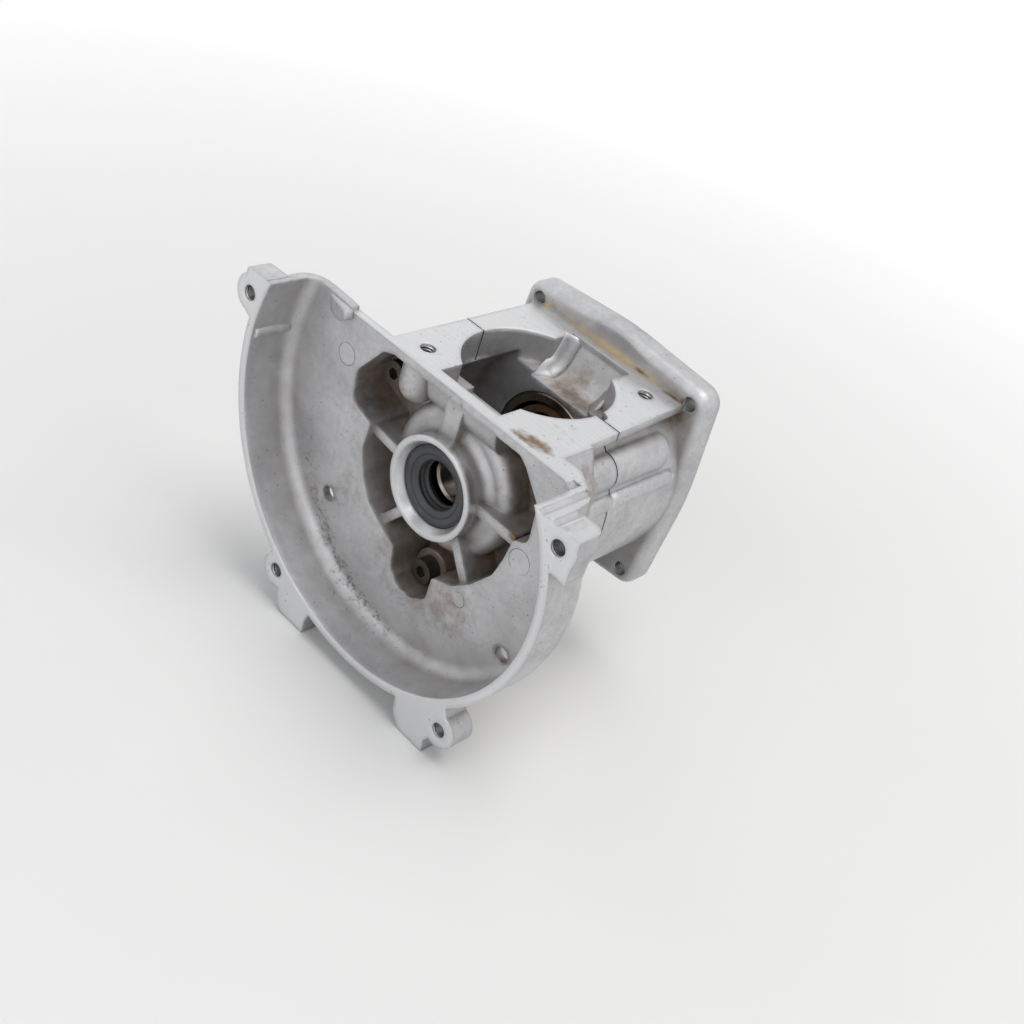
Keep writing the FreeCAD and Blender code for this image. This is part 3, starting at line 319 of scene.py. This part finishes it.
castLook = {
    "color": (0.62, 0.62, 0.63, 1.0),
    "darkTone": (0.42, 0.42, 0.435, 1.0),
    "rubbedColor": (0.90, 0.90, 0.91, 1.0),
    "grimeAndShadeColor": (0.045, 0.034, 0.024, 1.0),
    "oilAndShadeColor": (0.20, 0.13, 0.072, 1.0),
    "sealantColor": (0.20, 0.125, 0.055, 1.0),
    "yellowColor": (0.66, 0.54, 0.34, 1.0),
    "cutColor": (0.73, 0.735, 0.75, 1.0),
    "shadeColor": (0.26, 0.232, 0.205, 1.0),
    "roughness": 0.44,
    "cutRoughness": 0.3,
    "metallic": 0.7,
    "cutMetallic": 0.85,
    "ringScale": 1500.0,
    "ringDistortion": 0.6,
    "ringDetail": 2.0,
    "lineScale": (90.0, 1600.0, 1.0),
    "toneSpan": (0.36, 0.62),
    "lineNoise": (1.0, 3.0, 0.6),
    "lineSpan": (0.4, 0.75),
    "lineShare": 0.22,
    "ringShare": 0.25,
    "stainShare": 0.75,
    "discShare": 0.18,
    "bandShare": 0.7,
    "grooveShare": 0.75,
    "grooveDepth": 0.9,
    "darkShare": 0.8,
    "dirtAndShadeShare": 0.9,
    "pitShare": 0.55,
    "yellowShare": 0.85,
    "sealantShare": 0.9,
    "dirtRoughness": 0.3,
    "dirtMetallic": 0.1,
    "lineHeight": 0.14,
    "shade": {"Reach": 0.035, "Amount": 0.8},
    "dirtAndShade": {"Reach": 0.012, "Amount": 0.95},
    "close": {"Reach": 0.0026, "Amount": 0.85},
    "rubbed": {"Width": 0.00045, "Amount": 0.6},
    "band": {"Centre": (0.0003, -0.0305, -0.0019), "Radius": 0.0462, "Width": 0.0065},
    "edgeRadius": 0.0017,
    "bumpStrength": 0.4,
    "bumpDistance": 0.00016,
    "darkSpots": [((-0.0321, -0.0275, -0.0252), (1.0, 1.2, 1.0), 0.0034),
                  ((0.0363, -0.0275, -0.0266), (1.0, 1.2, 1.0), 0.0034),
                  ((0.0315, -0.019, 0.0205), (0.5, 1.6, 0.5), 0.0032),
                  ((0.0255, -0.026, -0.002), (0.6, 1.0, 0.6), 0.0022)],
    "frontStains": [((-0.0295, -0.018, 0.0085), (1.0, 1.3, 1.3), 0.0095),
                    ((0.006, -0.016, -0.0265), (1.7, 1.6, 1.0), 0.0135),
                    ((-0.026, -0.016, -0.020), (1.0, 1.4, 1.2), 0.010),
                    ((0.015, -0.0145, -0.015), (1.6, 0.6, 1.6), 0.012),
                    ((0.024, -0.0145, 0.012), (1.2, 0.8, 1.2), 0.012),
                    ((-0.019, -0.018, 0.017), (0.5, 1.4, 0.9), 0.007)],
    "rearStains": [((-0.002, 0.018, 0.0205), (0.7, 0.8, 0.9), 0.009),
                   ((0.006, 0.015, 0.016), (1.4, 0.7, 0.7), 0.008),
                   ((0.026, 0.029, 0.024), (0.6, 1.4, 1.0), 0.005)],
    "sealantSpots": [((0.0225, -0.0243, 0.0277), (1.7, 0.8, 0.7), 0.0034),
                     ((0.0185, -0.0262, 0.0277), (1.5, 0.5, 0.7), 0.0026),
                     ((0.0262, -0.0262, 0.003), (1.0, 0.5, 1.0), 0.0022),
                     ((0.0235, 0.0285, 0.0275), (1.6, 0.5, 0.7), 0.0030),
                     ((0.0105, 0.0290, 0.0278), (1.8, 0.4, 0.5), 0.0018)],
    "yellowSpots": [((0.0, 0.0287, 0.0278), (9.0, 0.5, 0.6), 0.0030),
                    ((-0.0255, 0.0285, 0.0275), (0.9, 0.7, 0.7), 0.0030)],
    "frontFaces": [((0.0, -1.0, 0.0), 0.0427), ((0.0, 0.0, 1.0), 0.0277)],
    "rearFaces": [((0.0, 1.0, 0.0), 0.0363), ((0.0, 0.0, 1.0), 0.0277)],
    "frontTurned": [(0.0139, -0.0302, -0.0268), (0.0163, -0.0205, -0.009)],
    "rearTurned": [(0.0163, 0.0120, 0.0230), (0.0142, 0.0229, 0.0320)],
    "pinMarks": [((-0.0381, -0.0287, 0.0160), 0.0030), ((0.0185, -0.0287, -0.0226), 0.0021),
                 ((-0.0003, -0.0287, 0.0248), 0.0022), ((0.0316, -0.0287, 0.0003), 0.0033),
                 ((0.0455, -0.0287, -0.0100), 0.0016)],
}


def castMaterial(name, part):
    look = castLook
    material = bpy.data.materials.new(name)
    tree = treeOf(material)
    place = objectPlace(tree)
    skin = useGroup(tree, castSkin)
    color = mixColor(tree, ramp(tree, skin["Tone"], *look["toneSpan"]), look["darkTone"], look["color"])
    cut = 0.0
    for axis, level in look[part + "Faces"]:
        cut = sums(tree, "MAXIMUM", cut, useGroup(tree, machined, Axis=axis, Level=level)["Mask"])
    lathe = 0.0
    for radius, first, last in look[part + "Turned"]:
        lathe = sums(tree, "MAXIMUM", lathe, useGroup(tree, turned, Radius=radius, From=first, To=last)["Mask"])
    # fine rings left by the tool, round the crank axis, and faint straight lines on the milled faces
    rings = addNode(tree, "ShaderNodeTexWave", {"wave_type": "RINGS", "rings_direction": "Y"}, Vector=place,
                    Scale=look["ringScale"], Distortion=look["ringDistortion"],
                    Detail=look["ringDetail"]).outputs["Fac"]
    stretched = addNode(tree, "ShaderNodeMapping", {}, Vector=place, Scale=look["lineScale"])
    lines = noise(tree, stretched, *look["lineNoise"])
    smooth = sums(tree, "MAXIMUM", cut, lathe)
    color = mixColor(tree, smooth, color, look["cutColor"])
    color = mixColor(tree, product(tree, lathe, rings, look["ringShare"]), color, look["darkTone"])
    scored = product(tree, cut, ramp(tree, lines, *look["lineSpan"]), look["lineShare"])
    color = mixColor(tree, scored, color, look["darkTone"])
    for spot, stretch, radius in look[part + "Stains"]:
        mask = useGroup(tree, stain, Place=spot, Stretch=stretch, Radius=radius)["Mask"]
        color = mixColor(tree, product(tree, mask, look["stainShare"]), color, look["oilAndShadeColor"])
    groove = 0.0
    if part == "front":
        for spot, radius in look["pinMarks"]:
            mark = useGroup(tree, pinMark, Place=spot, Radius=radius)
            groove = sums(tree, "MAXIMUM", groove, mark["Groove"])
            color = mixColor(tree, product(tree, mark["Disc"], look["discShare"]), color, look["cutColor"])
        band = useGroup(tree, speckled, **look["band"])["Mask"]
        color = mixColor(tree, product(tree, band, look["bandShare"]), color, look["grimeAndShadeColor"])
        color = mixColor(tree, product(tree, groove, look["grooveShare"]), color, look["grimeAndShadeColor"])
        # dark spots, the first two painting shade into the web holes
        for spot, stretch, radius in look["darkSpots"]:
            mask = useGroup(tree, stain, Place=spot, Stretch=stretch, Radius=radius)["Mask"]
            color = mixColor(tree, product(tree, mask, look["darkShare"]), color, look["grimeAndShadeColor"])
    # painted shade: hollows and inner walls that see little of their surroundings turn brown-grey
    shade = useGroup(tree, cornerShadeAndDirt, **look["shade"])["Mask"]
    color = mixColor(tree, shade, color, look["shadeColor"])
    # oil and painted shade: corners turn brown where they see little of their surroundings
    dirtAndShade = useGroup(tree, cornerShadeAndDirt, **look["dirtAndShade"])["Mask"]
    color = mixColor(tree, product(tree, dirtAndShade, look["dirtAndShadeShare"]), color, look["oilAndShadeColor"])
    # painted shade in creases: the tightest corners turn near black
    close = useGroup(tree, cornerShadeAndDirt, **look["close"])["Mask"]
    color = mixColor(tree, close, color, look["grimeAndShadeColor"])
    pits = product(tree, skin["Pits"], sums(tree, "SUBTRACT", 1.0, lathe), look["pitShare"])
    color = mixColor(tree, pits, color, look["grimeAndShadeColor"])
    rubbed = useGroup(tree, wear, **look["rubbed"])["Mask"]
    rubbed = product(tree, rubbed, sums(tree, "SUBTRACT", 1.0, close))
    color = mixColor(tree, rubbed, color, look["rubbedColor"])
    for rest in ("yellow", "sealant"):
        for spot, stretch, radius in look[rest + "Spots"]:
            mask = useGroup(tree, stain, Place=spot, Stretch=stretch, Radius=radius)["Mask"]
            color = mixColor(tree, product(tree, mask, look[rest + "Share"]), color, look[rest + "Color"])
    rough = mixValue(tree, smooth, look["roughness"], look["cutRoughness"])
    rough = sums(tree, "ADD", rough, product(tree, sums(tree, "MAXIMUM", dirtAndShade, close), look["dirtRoughness"]))
    metal = mixValue(tree, sums(tree, "MAXIMUM", dirtAndShade, close), look["metallic"], look["dirtMetallic"])
    metal = mixValue(tree, smooth, metal, look["cutMetallic"])
    rounded = addNode(tree, "ShaderNodeBevel", {"samples": 2}, Radius=look["edgeRadius"])
    tooled = product(tree, mixValue(tree, lathe, lines, rings), look["lineHeight"])
    height = mixValue(tree, smooth, skin["Height"], tooled)
    height = sums(tree, "SUBTRACT", height, product(tree, groove, look["grooveDepth"]))
    bump = addNode(tree, "ShaderNodeBump", {}, Strength=look["bumpStrength"], Distance=look["bumpDistance"],
                   Height=height, Normal=rounded)
    shader = addNode(tree, "ShaderNodeBsdfPrincipled", {}, Base_Color=color, Metallic=metal, Roughness=rough,
                     Normal=bump)
    addNode(tree, "ShaderNodeOutputMaterial", {}, Surface=shader)
    return material


plainLooks = {
    "gasketFibre": {"color": (0.030, 0.028, 0.026, 1.0), "metallic": 0.0, "roughness": 0.8, "grain": 1500.0,
                    "bump": 0.4},
    "screwSteel": {"color": (0.075, 0.062, 0.05, 1.0), "metallic": 0.5, "roughness": 0.4, "grain": 900.0,
                   "bump": 0.3},
    "bearingSteel": {"color": (0.34, 0.31, 0.27, 1.0), "metallic": 1.0, "roughness": 0.27, "grain": 500.0,
                     "bump": 0.08},
    "ballSteel": {"color": (0.62, 0.61, 0.60, 1.0), "metallic": 1.0, "roughness": 0.12, "grain": 400.0,
                  "bump": 0.04},
    "cagePlastic": {"color": (0.16, 0.08, 0.035, 1.0), "metallic": 0.0, "roughness": 0.45, "grain": 900.0,
                    "bump": 0.2},
    "springSteel": {"color": (0.42, 0.41, 0.40, 1.0), "metallic": 1.0, "roughness": 0.3, "grain": 900.0,
                    "bump": 0.2},
    "threadAluminium": {"color": (0.60, 0.60, 0.60, 1.0), "metallic": 0.9, "roughness": 0.25, "grain": 1400.0,
                        "bump": 0.2},
}


plainShared = {
    "grain": (4.0, 0.6),
    "blotchScale": 0.2,
    "blotchDetail": 3.0,
    "blotchSpan": (0.4, 0.65),
    "darkShare": 0.6,
    "dirtAndShade": {"Reach": 0.003, "Amount": 0.5},
    "blotchRoughness": 0.2,
    "roughnessDrop": 0.1,
    "bumpDistance": 0.0001,
}


def plainMaterial(name):
    look, shared = plainLooks[name], plainShared
    material = bpy.data.materials.new(name)
    tree = treeOf(material)
    place = objectPlace(tree)
    grain = noise(tree, place, look["grain"], *shared["grain"])
    blotch = noise(tree, place, look["grain"] * shared["blotchScale"], shared["blotchDetail"])
    dark = tuple(shared["darkShare"] * part for part in look["color"][:3]) + (1.0,)
    color = mixColor(tree, ramp(tree, blotch, *shared["blotchSpan"]), dark, look["color"])
    # dirt and painted shade: corners that see little of their surroundings turn dark
    dirtAndShade = useGroup(tree, cornerShadeAndDirt, **shared["dirtAndShade"])["Mask"]
    color = mixColor(tree, dirtAndShade, color, castLook["grimeAndShadeColor"])
    clean = look["roughness"] - shared["roughnessDrop"]
    rough = sums(tree, "ADD", product(tree, blotch, shared["blotchRoughness"]), clean)
    bump = addNode(tree, "ShaderNodeBump", {}, Strength=look["bump"], Distance=shared["bumpDistance"],
                   Height=grain)
    shader = addNode(tree, "ShaderNodeBsdfPrincipled", {}, Base_Color=color, Metallic=look["metallic"],
                     Roughness=rough, Normal=bump)
    addNode(tree, "ShaderNodeOutputMaterial", {}, Surface=shader)
    return material


sealLook = {
    "color": (0.036, 0.037, 0.040, 1.0),
    "dustColor": (0.12, 0.12, 0.125, 1.0),
    "grooveColor": (0.012, 0.012, 0.013, 1.0),
    "grooves": [0.0102, 0.0083, 0.0066],
    "grooveSpan": (0.00008, 0.0003),
    "grooveShare": 0.8,
    "dust": (210.0, 5.0, 0.65),
    "dustSpan": (0.4, 0.75),
    "dustShare": 0.4,
    "dustRoughness": 0.2,
    "grain": (2100.0, 3.0, 0.6),
    "grainHeight": 0.3,
    "roughness": 0.5,
    "roughnessDrop": 0.08,
    "edgeRadius": 0.0003,
    "bumpStrength": 0.6,
    "bumpDistance": 0.00015,
}


def sealMaterial():
    # moulded rubber: round grooves at fixed radii, a dusty bloom and fine grain
    look = sealLook
    material = bpy.data.materials.new("sealRubber")
    tree = treeOf(material)
    place = objectPlace(tree)
    across = arrows(tree, "LENGTH", arrows(tree, "MULTIPLY", place, (1.0, 0.0, 1.0))).outputs["Value"]
    groove = 0.0
    for radius in look["grooves"]:
        off = sums(tree, "ABSOLUTE", sums(tree, "SUBTRACT", across, radius))
        line = sums(tree, "SUBTRACT", 1.0, ramp(tree, off, *look["grooveSpan"]))
        groove = sums(tree, "MAXIMUM", groove, line)
    dust = ramp(tree, noise(tree, place, *look["dust"]), *look["dustSpan"])
    grain = noise(tree, place, *look["grain"])
    color = mixColor(tree, product(tree, dust, look["dustShare"]), look["color"], look["dustColor"])
    color = mixColor(tree, product(tree, groove, look["grooveShare"]), color, look["grooveColor"])
    clean = look["roughness"] - look["roughnessDrop"]
    rough = sums(tree, "ADD", product(tree, dust, look["dustRoughness"]), clean)
    height = sums(tree, "SUBTRACT", product(tree, grain, look["grainHeight"]), groove)
    rounded = addNode(tree, "ShaderNodeBevel", {"samples": 2}, Radius=look["edgeRadius"])
    bump = addNode(tree, "ShaderNodeBump", {}, Strength=look["bumpStrength"], Distance=look["bumpDistance"],
                   Height=height, Normal=rounded)
    shader = addNode(tree, "ShaderNodeBsdfPrincipled", {}, Base_Color=color, Roughness=rough, Normal=bump)
    addNode(tree, "ShaderNodeOutputMaterial", {}, Surface=shader)
    return material


materials = {name: plainMaterial(name) for name in plainLooks}
materials["sealRubber"] = sealMaterial()
materials["frontCast"] = castMaterial("frontCast", "front")
materials["rearCast"] = castMaterial("rearCast", "rear")
finishes = {"case_gasket": "gasketFibre", "front_case": "frontCast", "rear_case": "rearCast",
            "case_screws": "screwSteel"}
endings = {"dowel": "screwSteel", "seal": "sealRubber", "spring": "springSteel", "race": "bearingSteel",
           "cage": "cagePlastic"}
for name, piece in nodes.items():
    ending = name.split("_")[-1]
    finish = finishes.get(name) or ("ballSteel" if "ball" in name else endings[ending])
    piece.data.materials.clear()
    piece.data.materials.append(materials[finish])
print("materials set")


def closedSurface(name, points, material, wrapAcross=True):
    # points is a grid of rows and columns; columns always close, rows close too or end in a cap at each end
    rows, columns = points.shape[:2]
    row = np.arange(rows if wrapAcross else rows - 1)[:, None]
    column = np.arange(columns)[None, :]
    below, beside = (row + 1) % rows, (column + 1) % columns
    faces = np.stack([row * columns + column, row * columns + beside, below * columns + beside,
                      below * columns + column], axis=-1).reshape(-1, 4)
    flat = points.reshape(-1, 3)
    corners = flat[faces]
    volume = np.einsum("ij,ij->i", corners[:, 0], np.cross(corners[:, 1], corners[:, 2])).sum()
    volume += np.einsum("ij,ij->i", corners[:, 0], np.cross(corners[:, 2], corners[:, 3])).sum()
    faceList = (faces if volume > 0 else faces[:, ::-1]).tolist()
    if not wrapAcross:
        first, last = list(range(columns)), list(range((rows - 1) * columns, rows * columns))
        faceList += [first[::-1], last] if volume > 0 else [first, last[::-1]]
    mesh = bpy.data.meshes.new(name)
    mesh.from_pydata(flat.tolist(), [], faceList)
    mesh.shade_smooth()
    mesh.materials.append(material)
    piece = bpy.data.objects.new(name, mesh)
    bpy.context.scene.collection.objects.link(piece)
    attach(piece, "housing")
    return piece


threadLook = {
    "pitch": 0.0008,
    "crest": 0.00188,
    "root": 0.00207,
    "wall": 0.002095,
    "rowsPerTurn": 8,
    "columns": 40,
    "inset": 0.0004,
    "steepness": 1.25,
    "holes": {
        "studFront": ((-0.0191, -0.0212, 0.0277), (0.0, 0.0, -1.0), 0.0115),
        "studRear": ((0.0191, 0.0212, 0.0277), (0.0, 0.0, -1.0), 0.0115),
        "lugUpperLeft": ((-0.0621, -0.0427, 0.0226), (0.0, 1.0, 0.0), 0.0066),
        "lugLowerLeft": ((-0.0317, -0.0427, -0.0466), (0.0, 1.0, 0.0), 0.0066),
        "lugLowerRight": ((0.0350, -0.0427, -0.0473), (0.0, 1.0, 0.0), 0.0066),
        "lugUpperRight": ((0.0483, -0.0427, 0.0227), (0.0, 1.0, 0.0), 0.0066),
        "flangeUpperRight": ((0.0275, 0.0363, 0.0280), (0.0, -1.0, 0.0), 0.0066),
        "flangeUpperLeft": ((-0.0275, 0.0363, 0.0280), (0.0, -1.0, 0.0), 0.0066),
        "flangeLowerRight": ((0.0275, 0.0363, -0.0280), (0.0, -1.0, 0.0), 0.0066),
        "flangeLowerLeft": ((-0.0275, 0.0363, -0.0280), (0.0, -1.0, 0.0), 0.0066),
    },
}


def addThreads():
    # a screw thread: the inside radius swings between crest and root,
    # with depth over pitch less angle over a full turn
    look = threadLook
    for name, (mouth, axis, depth) in look["holes"].items():
        rows = int(round(depth / look["pitch"])) * look["rowsPerTurn"]
        along = np.linspace(look["inset"], depth, rows)
        angle = np.linspace(0.0, 2 * math.pi, look["columns"], endpoint=False)
        phase = (along[:, None] / look["pitch"] - angle[None, :] / (2 * math.pi)) % 1.0
        swing = np.abs(2.0 * phase - 1.0)
        inner = look["crest"] + (look["root"] - look["crest"]) * np.clip(look["steepness"] * swing, 0.0, 1.0)
        radius = np.vstack([inner, np.full((2, look["columns"]), look["wall"])])
        height = np.concatenate([along, along[[-1, 0]]])[:, None]
        ahead = np.array(axis)
        side = np.array((1.0, 0.0, 0.0))
        up = np.cross(ahead, side)
        around = np.cos(angle)[:, None] * side + np.sin(angle)[:, None] * up
        points = np.array(mouth) + height[..., None] * ahead + radius[..., None] * around[None]
        closedSurface(name + "Thread", points, materials["threadAluminium"])


addThreads()

tabLook = {
    "corners": [(-0.0478, 0.0284), (-0.0470, 0.0252), (-0.0460, 0.0242), (-0.0440, 0.0239), (-0.0420, 0.0240),
                (-0.0402, 0.0249), (-0.0386, 0.0262), (-0.0395, 0.0282), (-0.0410, 0.0284), (-0.0445, 0.0284)],
    "web": -0.0286,
    "low": 0.0008,
    "high": 0.0031,
    "bevel": 0.0005,
    "segments": 3,
}


def addTab():
    # a raised tab on the web: its outline carried forward, by more towards the right end
    look = tabLook
    corners = np.array(look["corners"])
    share = (corners[:, 0] - corners[:, 0].min()) / np.ptp(corners[:, 0])
    rise = look["low"] + (look["high"] - look["low"]) * share
    back = np.stack([corners[:, 0], np.full(len(corners), look["web"]), corners[:, 1]], axis=-1)
    front = back - np.stack([0.0 * rise, rise, 0.0 * rise], axis=-1)
    tab = closedSurface("webTab", np.stack([back, front]), materials["frontCast"], wrapAcross=False)
    tab.data.polygons.foreach_set("use_smooth", np.zeros(len(tab.data.polygons), bool))
    bevel = tab.modifiers.new("rounded", "BEVEL")
    bevel.width = look["bevel"]
    bevel.segments = look["segments"]


addTab()

padSteps = {"across": 17, "along": 12, "tuck": 0.0004, "steepness": 1.6}
padLook = {
    "wallLedge": {"centre": (0.0003, 0.0086), "radius": 0.0591, "angles": (174.95, 177.87),
                  "depths": (-0.0418, -0.0300), "rise": -0.0006, "material": "frontCast"},
    "sideRidgeFront": {"centre": (0.0, 0.0), "radius": 0.0336, "angles": (11.5, 20.0),
                       "depths": (-0.0190, -0.0003), "rise": 0.0012, "material": "frontCast"},
    "sideRidgeRear": {"centre": (0.0, 0.0), "radius": 0.0334, "angles": (11.5, 20.0),
                      "depths": (0.0003, 0.0262), "rise": 0.0012, "material": "rearCast"},
}


def addPads():
    # a low pad on a round wall: an arch over its width, carried along the crank axis
    for name, look in padLook.items():
        share = np.linspace(0.0, 1.0, padSteps["across"])
        angle = np.radians(look["angles"][0] + (look["angles"][1] - look["angles"][0]) * share)
        rise = look["rise"] * np.clip(np.sin(math.pi * share) * padSteps["steepness"], 0.0, 1.0)
        foot = look["radius"] - np.sign(look["rise"]) * padSteps["tuck"]
        reach = np.concatenate([look["radius"] + rise, np.full(padSteps["across"], foot)])
        turn = np.concatenate([angle, angle[::-1]])
        depth = np.linspace(look["depths"][0], look["depths"][1], padSteps["along"])[:, None]
        across = look["centre"][0] + reach * np.cos(turn)
        level = look["centre"][1] + reach * np.sin(turn)
        points = np.stack(np.broadcast_arrays(across[None, :], depth, level[None, :]), axis=-1)
        closedSurface(name, points, materials[look["material"]], wrapAcross=False)


addPads()

scoopLook = {
    "halfWidth": 0.0103,
    "floor": 0.0174,
    "lip": 0.0125,
    "centre": (0.01762, 0.0234),
    "bend": 0.006,
    "turn": 69.4,
    "top": (0.0254, 0.0272),
    "round": 0.0040,
    "tuck": 0.0003,
    "straightSteps": 8,
    "bendSteps": 14,
    "cornerSteps": 9,
    "fade": 4.0,
    "topFade": 3.0,
    "leastShare": 0.1,
}


def addScoopRounds():
    # both lower corners of the rear transfer scoop, rounded along its floor, bend and back
    look = scoopLook
    turn = np.radians(look["turn"] * np.linspace(0.0, 1.0, look["bendSteps"]))
    bend = np.stack([look["centre"][0] + look["bend"] * np.sin(turn),
                     look["centre"][1] - look["bend"] * np.cos(turn)], axis=-1)
    away = np.stack([-np.sin(turn), np.cos(turn)], axis=-1)
    along = np.linspace(0.0, 1.0, look["straightSteps"], endpoint=False)[:, None]
    first, last = np.array((look["lip"], look["floor"])), np.array(look["top"])
    path = np.concatenate([first + along * (bend[0] - first), bend, last + along[::-1] * (bend[-1] - last)])
    normal = np.concatenate([np.repeat(away[:1], look["straightSteps"], axis=0), away,
                             np.repeat(away[-1:], look["straightSteps"], axis=0)])
    share = np.linspace(0.0, 1.0, len(path))
    corner = np.radians(np.linspace(0.0, 90.0, look["cornerSteps"]))
    tucked = np.full((len(path), 2), -look["tuck"])
    for side, name in ((-1, "scoopRoundLeft"), (1, "scoopRoundRight")):
        size = look["round"] * np.clip(share * look["fade"], look["leastShare"], 1.0)
        if side > 0:
            size = size * np.clip((1.0 - share) * look["topFade"], look["leastShare"], 1.0)
        size = size[:, None]
        inward = np.concatenate([size * (1.0 - np.sin(corner)), tucked, size], axis=1)
        upward = np.concatenate([size * (1.0 - np.cos(corner)), size, tucked], axis=1)
        place = path[:, None, :] + upward[..., None] * normal[:, None, :]
        points = np.stack([side * (look["halfWidth"] - inward), place[..., 0], place[..., 1]], axis=-1)
        closedSurface(name, points, materials["rearCast"], wrapAcross=False)


addScoopRounds()
print("small forms added")

# The photograph's camera: place, and the directions of the picture's right side and of its depth.
cameraLook = {
    "place": (0.163624, -0.242204, 0.187005),
    "right": (0.687629, 0.672481, 0.273745),
    "down": (0.571616, -0.268934, -0.775197),
    "ahead": (-0.447686, 0.689524, -0.569327),
    "focalPixels": 1317.84,
    "picturePixels": 1024,
    "sensorWidth": 36.0,
    "nearest": 0.01,
}


def addCamera():
    look = cameraLook
    camera = bpy.data.objects.new("camera", bpy.data.cameras.new("camera"))
    bpy.context.scene.collection.objects.link(camera)
    axes = Matrix((look["right"], [-part for part in look["down"]],
                   [-part for part in look["ahead"]])).transposed()
    camera.matrix_world = Matrix.Translation(look["place"]) @ axes.to_4x4()
    camera.data.sensor_width = look["sensorWidth"]
    camera.data.lens = look["sensorWidth"] * look["focalPixels"] / look["picturePixels"]
    camera.data.clip_start = look["nearest"]
    bpy.context.scene.camera = camera


addCamera()

stageLook = {"color": (0.78, 0.776, 0.765, 1.0), "radius": 1.6, "coveRadius": 0.5, "wallHeight": 1.2,
             "fadeFrom": 0.14, "fadeTo": 0.45, "cloud": (9.0, 3.0), "cloudSpan": (0.3, 0.7),
             "cloudShare": 0.98, "roughness": 0.7, "steps": 60, "turns": 96, "gap": 0.0001}


def addFloor(level):
    # a disc that bends up into a wall: radius and height follow the arc length from the middle
    look = stageLook
    steps, turns = look["steps"], look["turns"]
    run = np.linspace(0.0, 1.0, steps)
    flat = look["radius"]
    arc = look["coveRadius"] * math.pi / 2
    total = flat + arc + look["wallHeight"]
    length = run * total
    bend = np.clip((length - flat) / look["coveRadius"], 0.0, math.pi / 2)
    out = np.minimum(length, flat) + look["coveRadius"] * np.sin(bend)
    up = look["coveRadius"] * (1.0 - np.cos(bend)) + np.maximum(length - flat - arc, 0.0)
    angle = np.linspace(0.0, 2 * math.pi, turns, endpoint=False)
    points = np.stack([np.outer(out, np.cos(angle)), np.outer(out, np.sin(angle)),
                       np.outer(up, np.ones(turns)) + level], axis=-1).reshape(-1, 3)
    row = np.arange(steps - 1)[:, None] * turns
    column = np.arange(turns)[None, :]
    following = (column + 1) % turns
    faces = np.stack([row + column, row + turns + column, row + turns + following, row + following], axis=-1)
    mesh = bpy.data.meshes.new("floor")
    mesh.from_pydata(points.tolist(), [], faces.reshape(-1, 4).tolist())
    mesh.shade_smooth()
    floor = bpy.data.objects.new("floor", mesh)
    bpy.context.scene.collection.objects.link(floor)
    material = bpy.data.materials.new("floorPaper")
    tree = treeOf(material)
    place = objectPlace(tree)
    cloud = ramp(tree, noise(tree, place, *look["cloud"]), *look["cloudSpan"])
    darker = tuple(look["cloudShare"] * part for part in look["color"][:3]) + (1.0,)
    color = mixColor(tree, cloud, darker, look["color"])
    paper = addNode(tree, "ShaderNodeBsdfPrincipled", {}, Base_Color=color, Roughness=look["roughness"])
    # far from the part the paper fades into plain white, for the camera and in reflections
    white = addNode(tree, "ShaderNodeEmission", {}, Color=(1.0, 1.0, 1.0, 1.0), Strength=1.0)
    away = arrows(tree, "LENGTH", place).outputs["Value"]
    ray = addNode(tree, "ShaderNodeLightPath").outputs
    seen = sums(tree, "MAXIMUM", sums(tree, "MAXIMUM", ray["Is Camera Ray"], ray["Is Glossy Ray"]),
                ray["Is Transmission Ray"])
    fade = product(tree, ramp(tree, away, look["fadeFrom"], look["fadeTo"]), seen)
    shader = addNode(tree, "ShaderNodeMixShader", {}, i0=fade, i1=paper.outputs[0], i2=white.outputs[0])
    addNode(tree, "ShaderNodeOutputMaterial", {}, Surface=shader)
    mesh.materials.append(material)


addFloor(cadBox[0][2] - stageLook["gap"])

lampLook = {
    "window": {"place": (0.22, 0.12, 0.92), "aim": (0.0, 0.0, 0.0), "size": 0.8, "power": 7.0,
               "color": (1.0, 0.99, 0.975)},
    "fill": {"place": (0.10, -0.90, 0.50), "aim": (0.0, 0.0, 0.0), "size": 0.8, "power": 2.8,
             "color": (0.93, 0.96, 1.0)},
    "side": {"place": (-0.75, 0.1, 0.6), "aim": (0.0, 0.0, 0.0), "size": 0.9, "power": 1.2,
             "color": (0.95, 0.97, 1.0)},
}
worldLook = {"color": (0.91, 0.93, 0.97, 1.0), "strength": 0.42, "shownColor": (1.0, 1.0, 1.0, 1.0),
             "shownStrength": 1.0}


def addLamps():
    for name, look in lampLook.items():
        lamp = bpy.data.objects.new(name, bpy.data.lights.new(name, "AREA"))
        bpy.context.scene.collection.objects.link(lamp)
        lamp.location = look["place"]
        away = Vector(look["aim"]) - Vector(look["place"])
        lamp.rotation_euler = away.to_track_quat("-Z", "Y").to_euler()
        lamp.data.size = look["size"]
        lamp.data.energy = look["power"]
        lamp.data.color = look["color"]
    world = bpy.data.worlds.new("softRoom")
    bpy.context.scene.world = world
    tree = treeOf(world)
    soft = addNode(tree, "ShaderNodeBackground", {}, Color=worldLook["color"], Strength=worldLook["strength"])
    shown = addNode(tree, "ShaderNodeBackground", {}, Color=worldLook["shownColor"],
                    Strength=worldLook["shownStrength"])
    ray = addNode(tree, "ShaderNodeLightPath")
    both = addNode(tree, "ShaderNodeMixShader", {}, i0=ray.outputs["Is Camera Ray"], i1=soft.outputs[0],
                   i2=shown.outputs[0])
    addNode(tree, "ShaderNodeOutputWorld", {}, Surface=both)


addLamps()
bpy.context.scene.view_settings.view_transform = "Standard"
print("stage set")
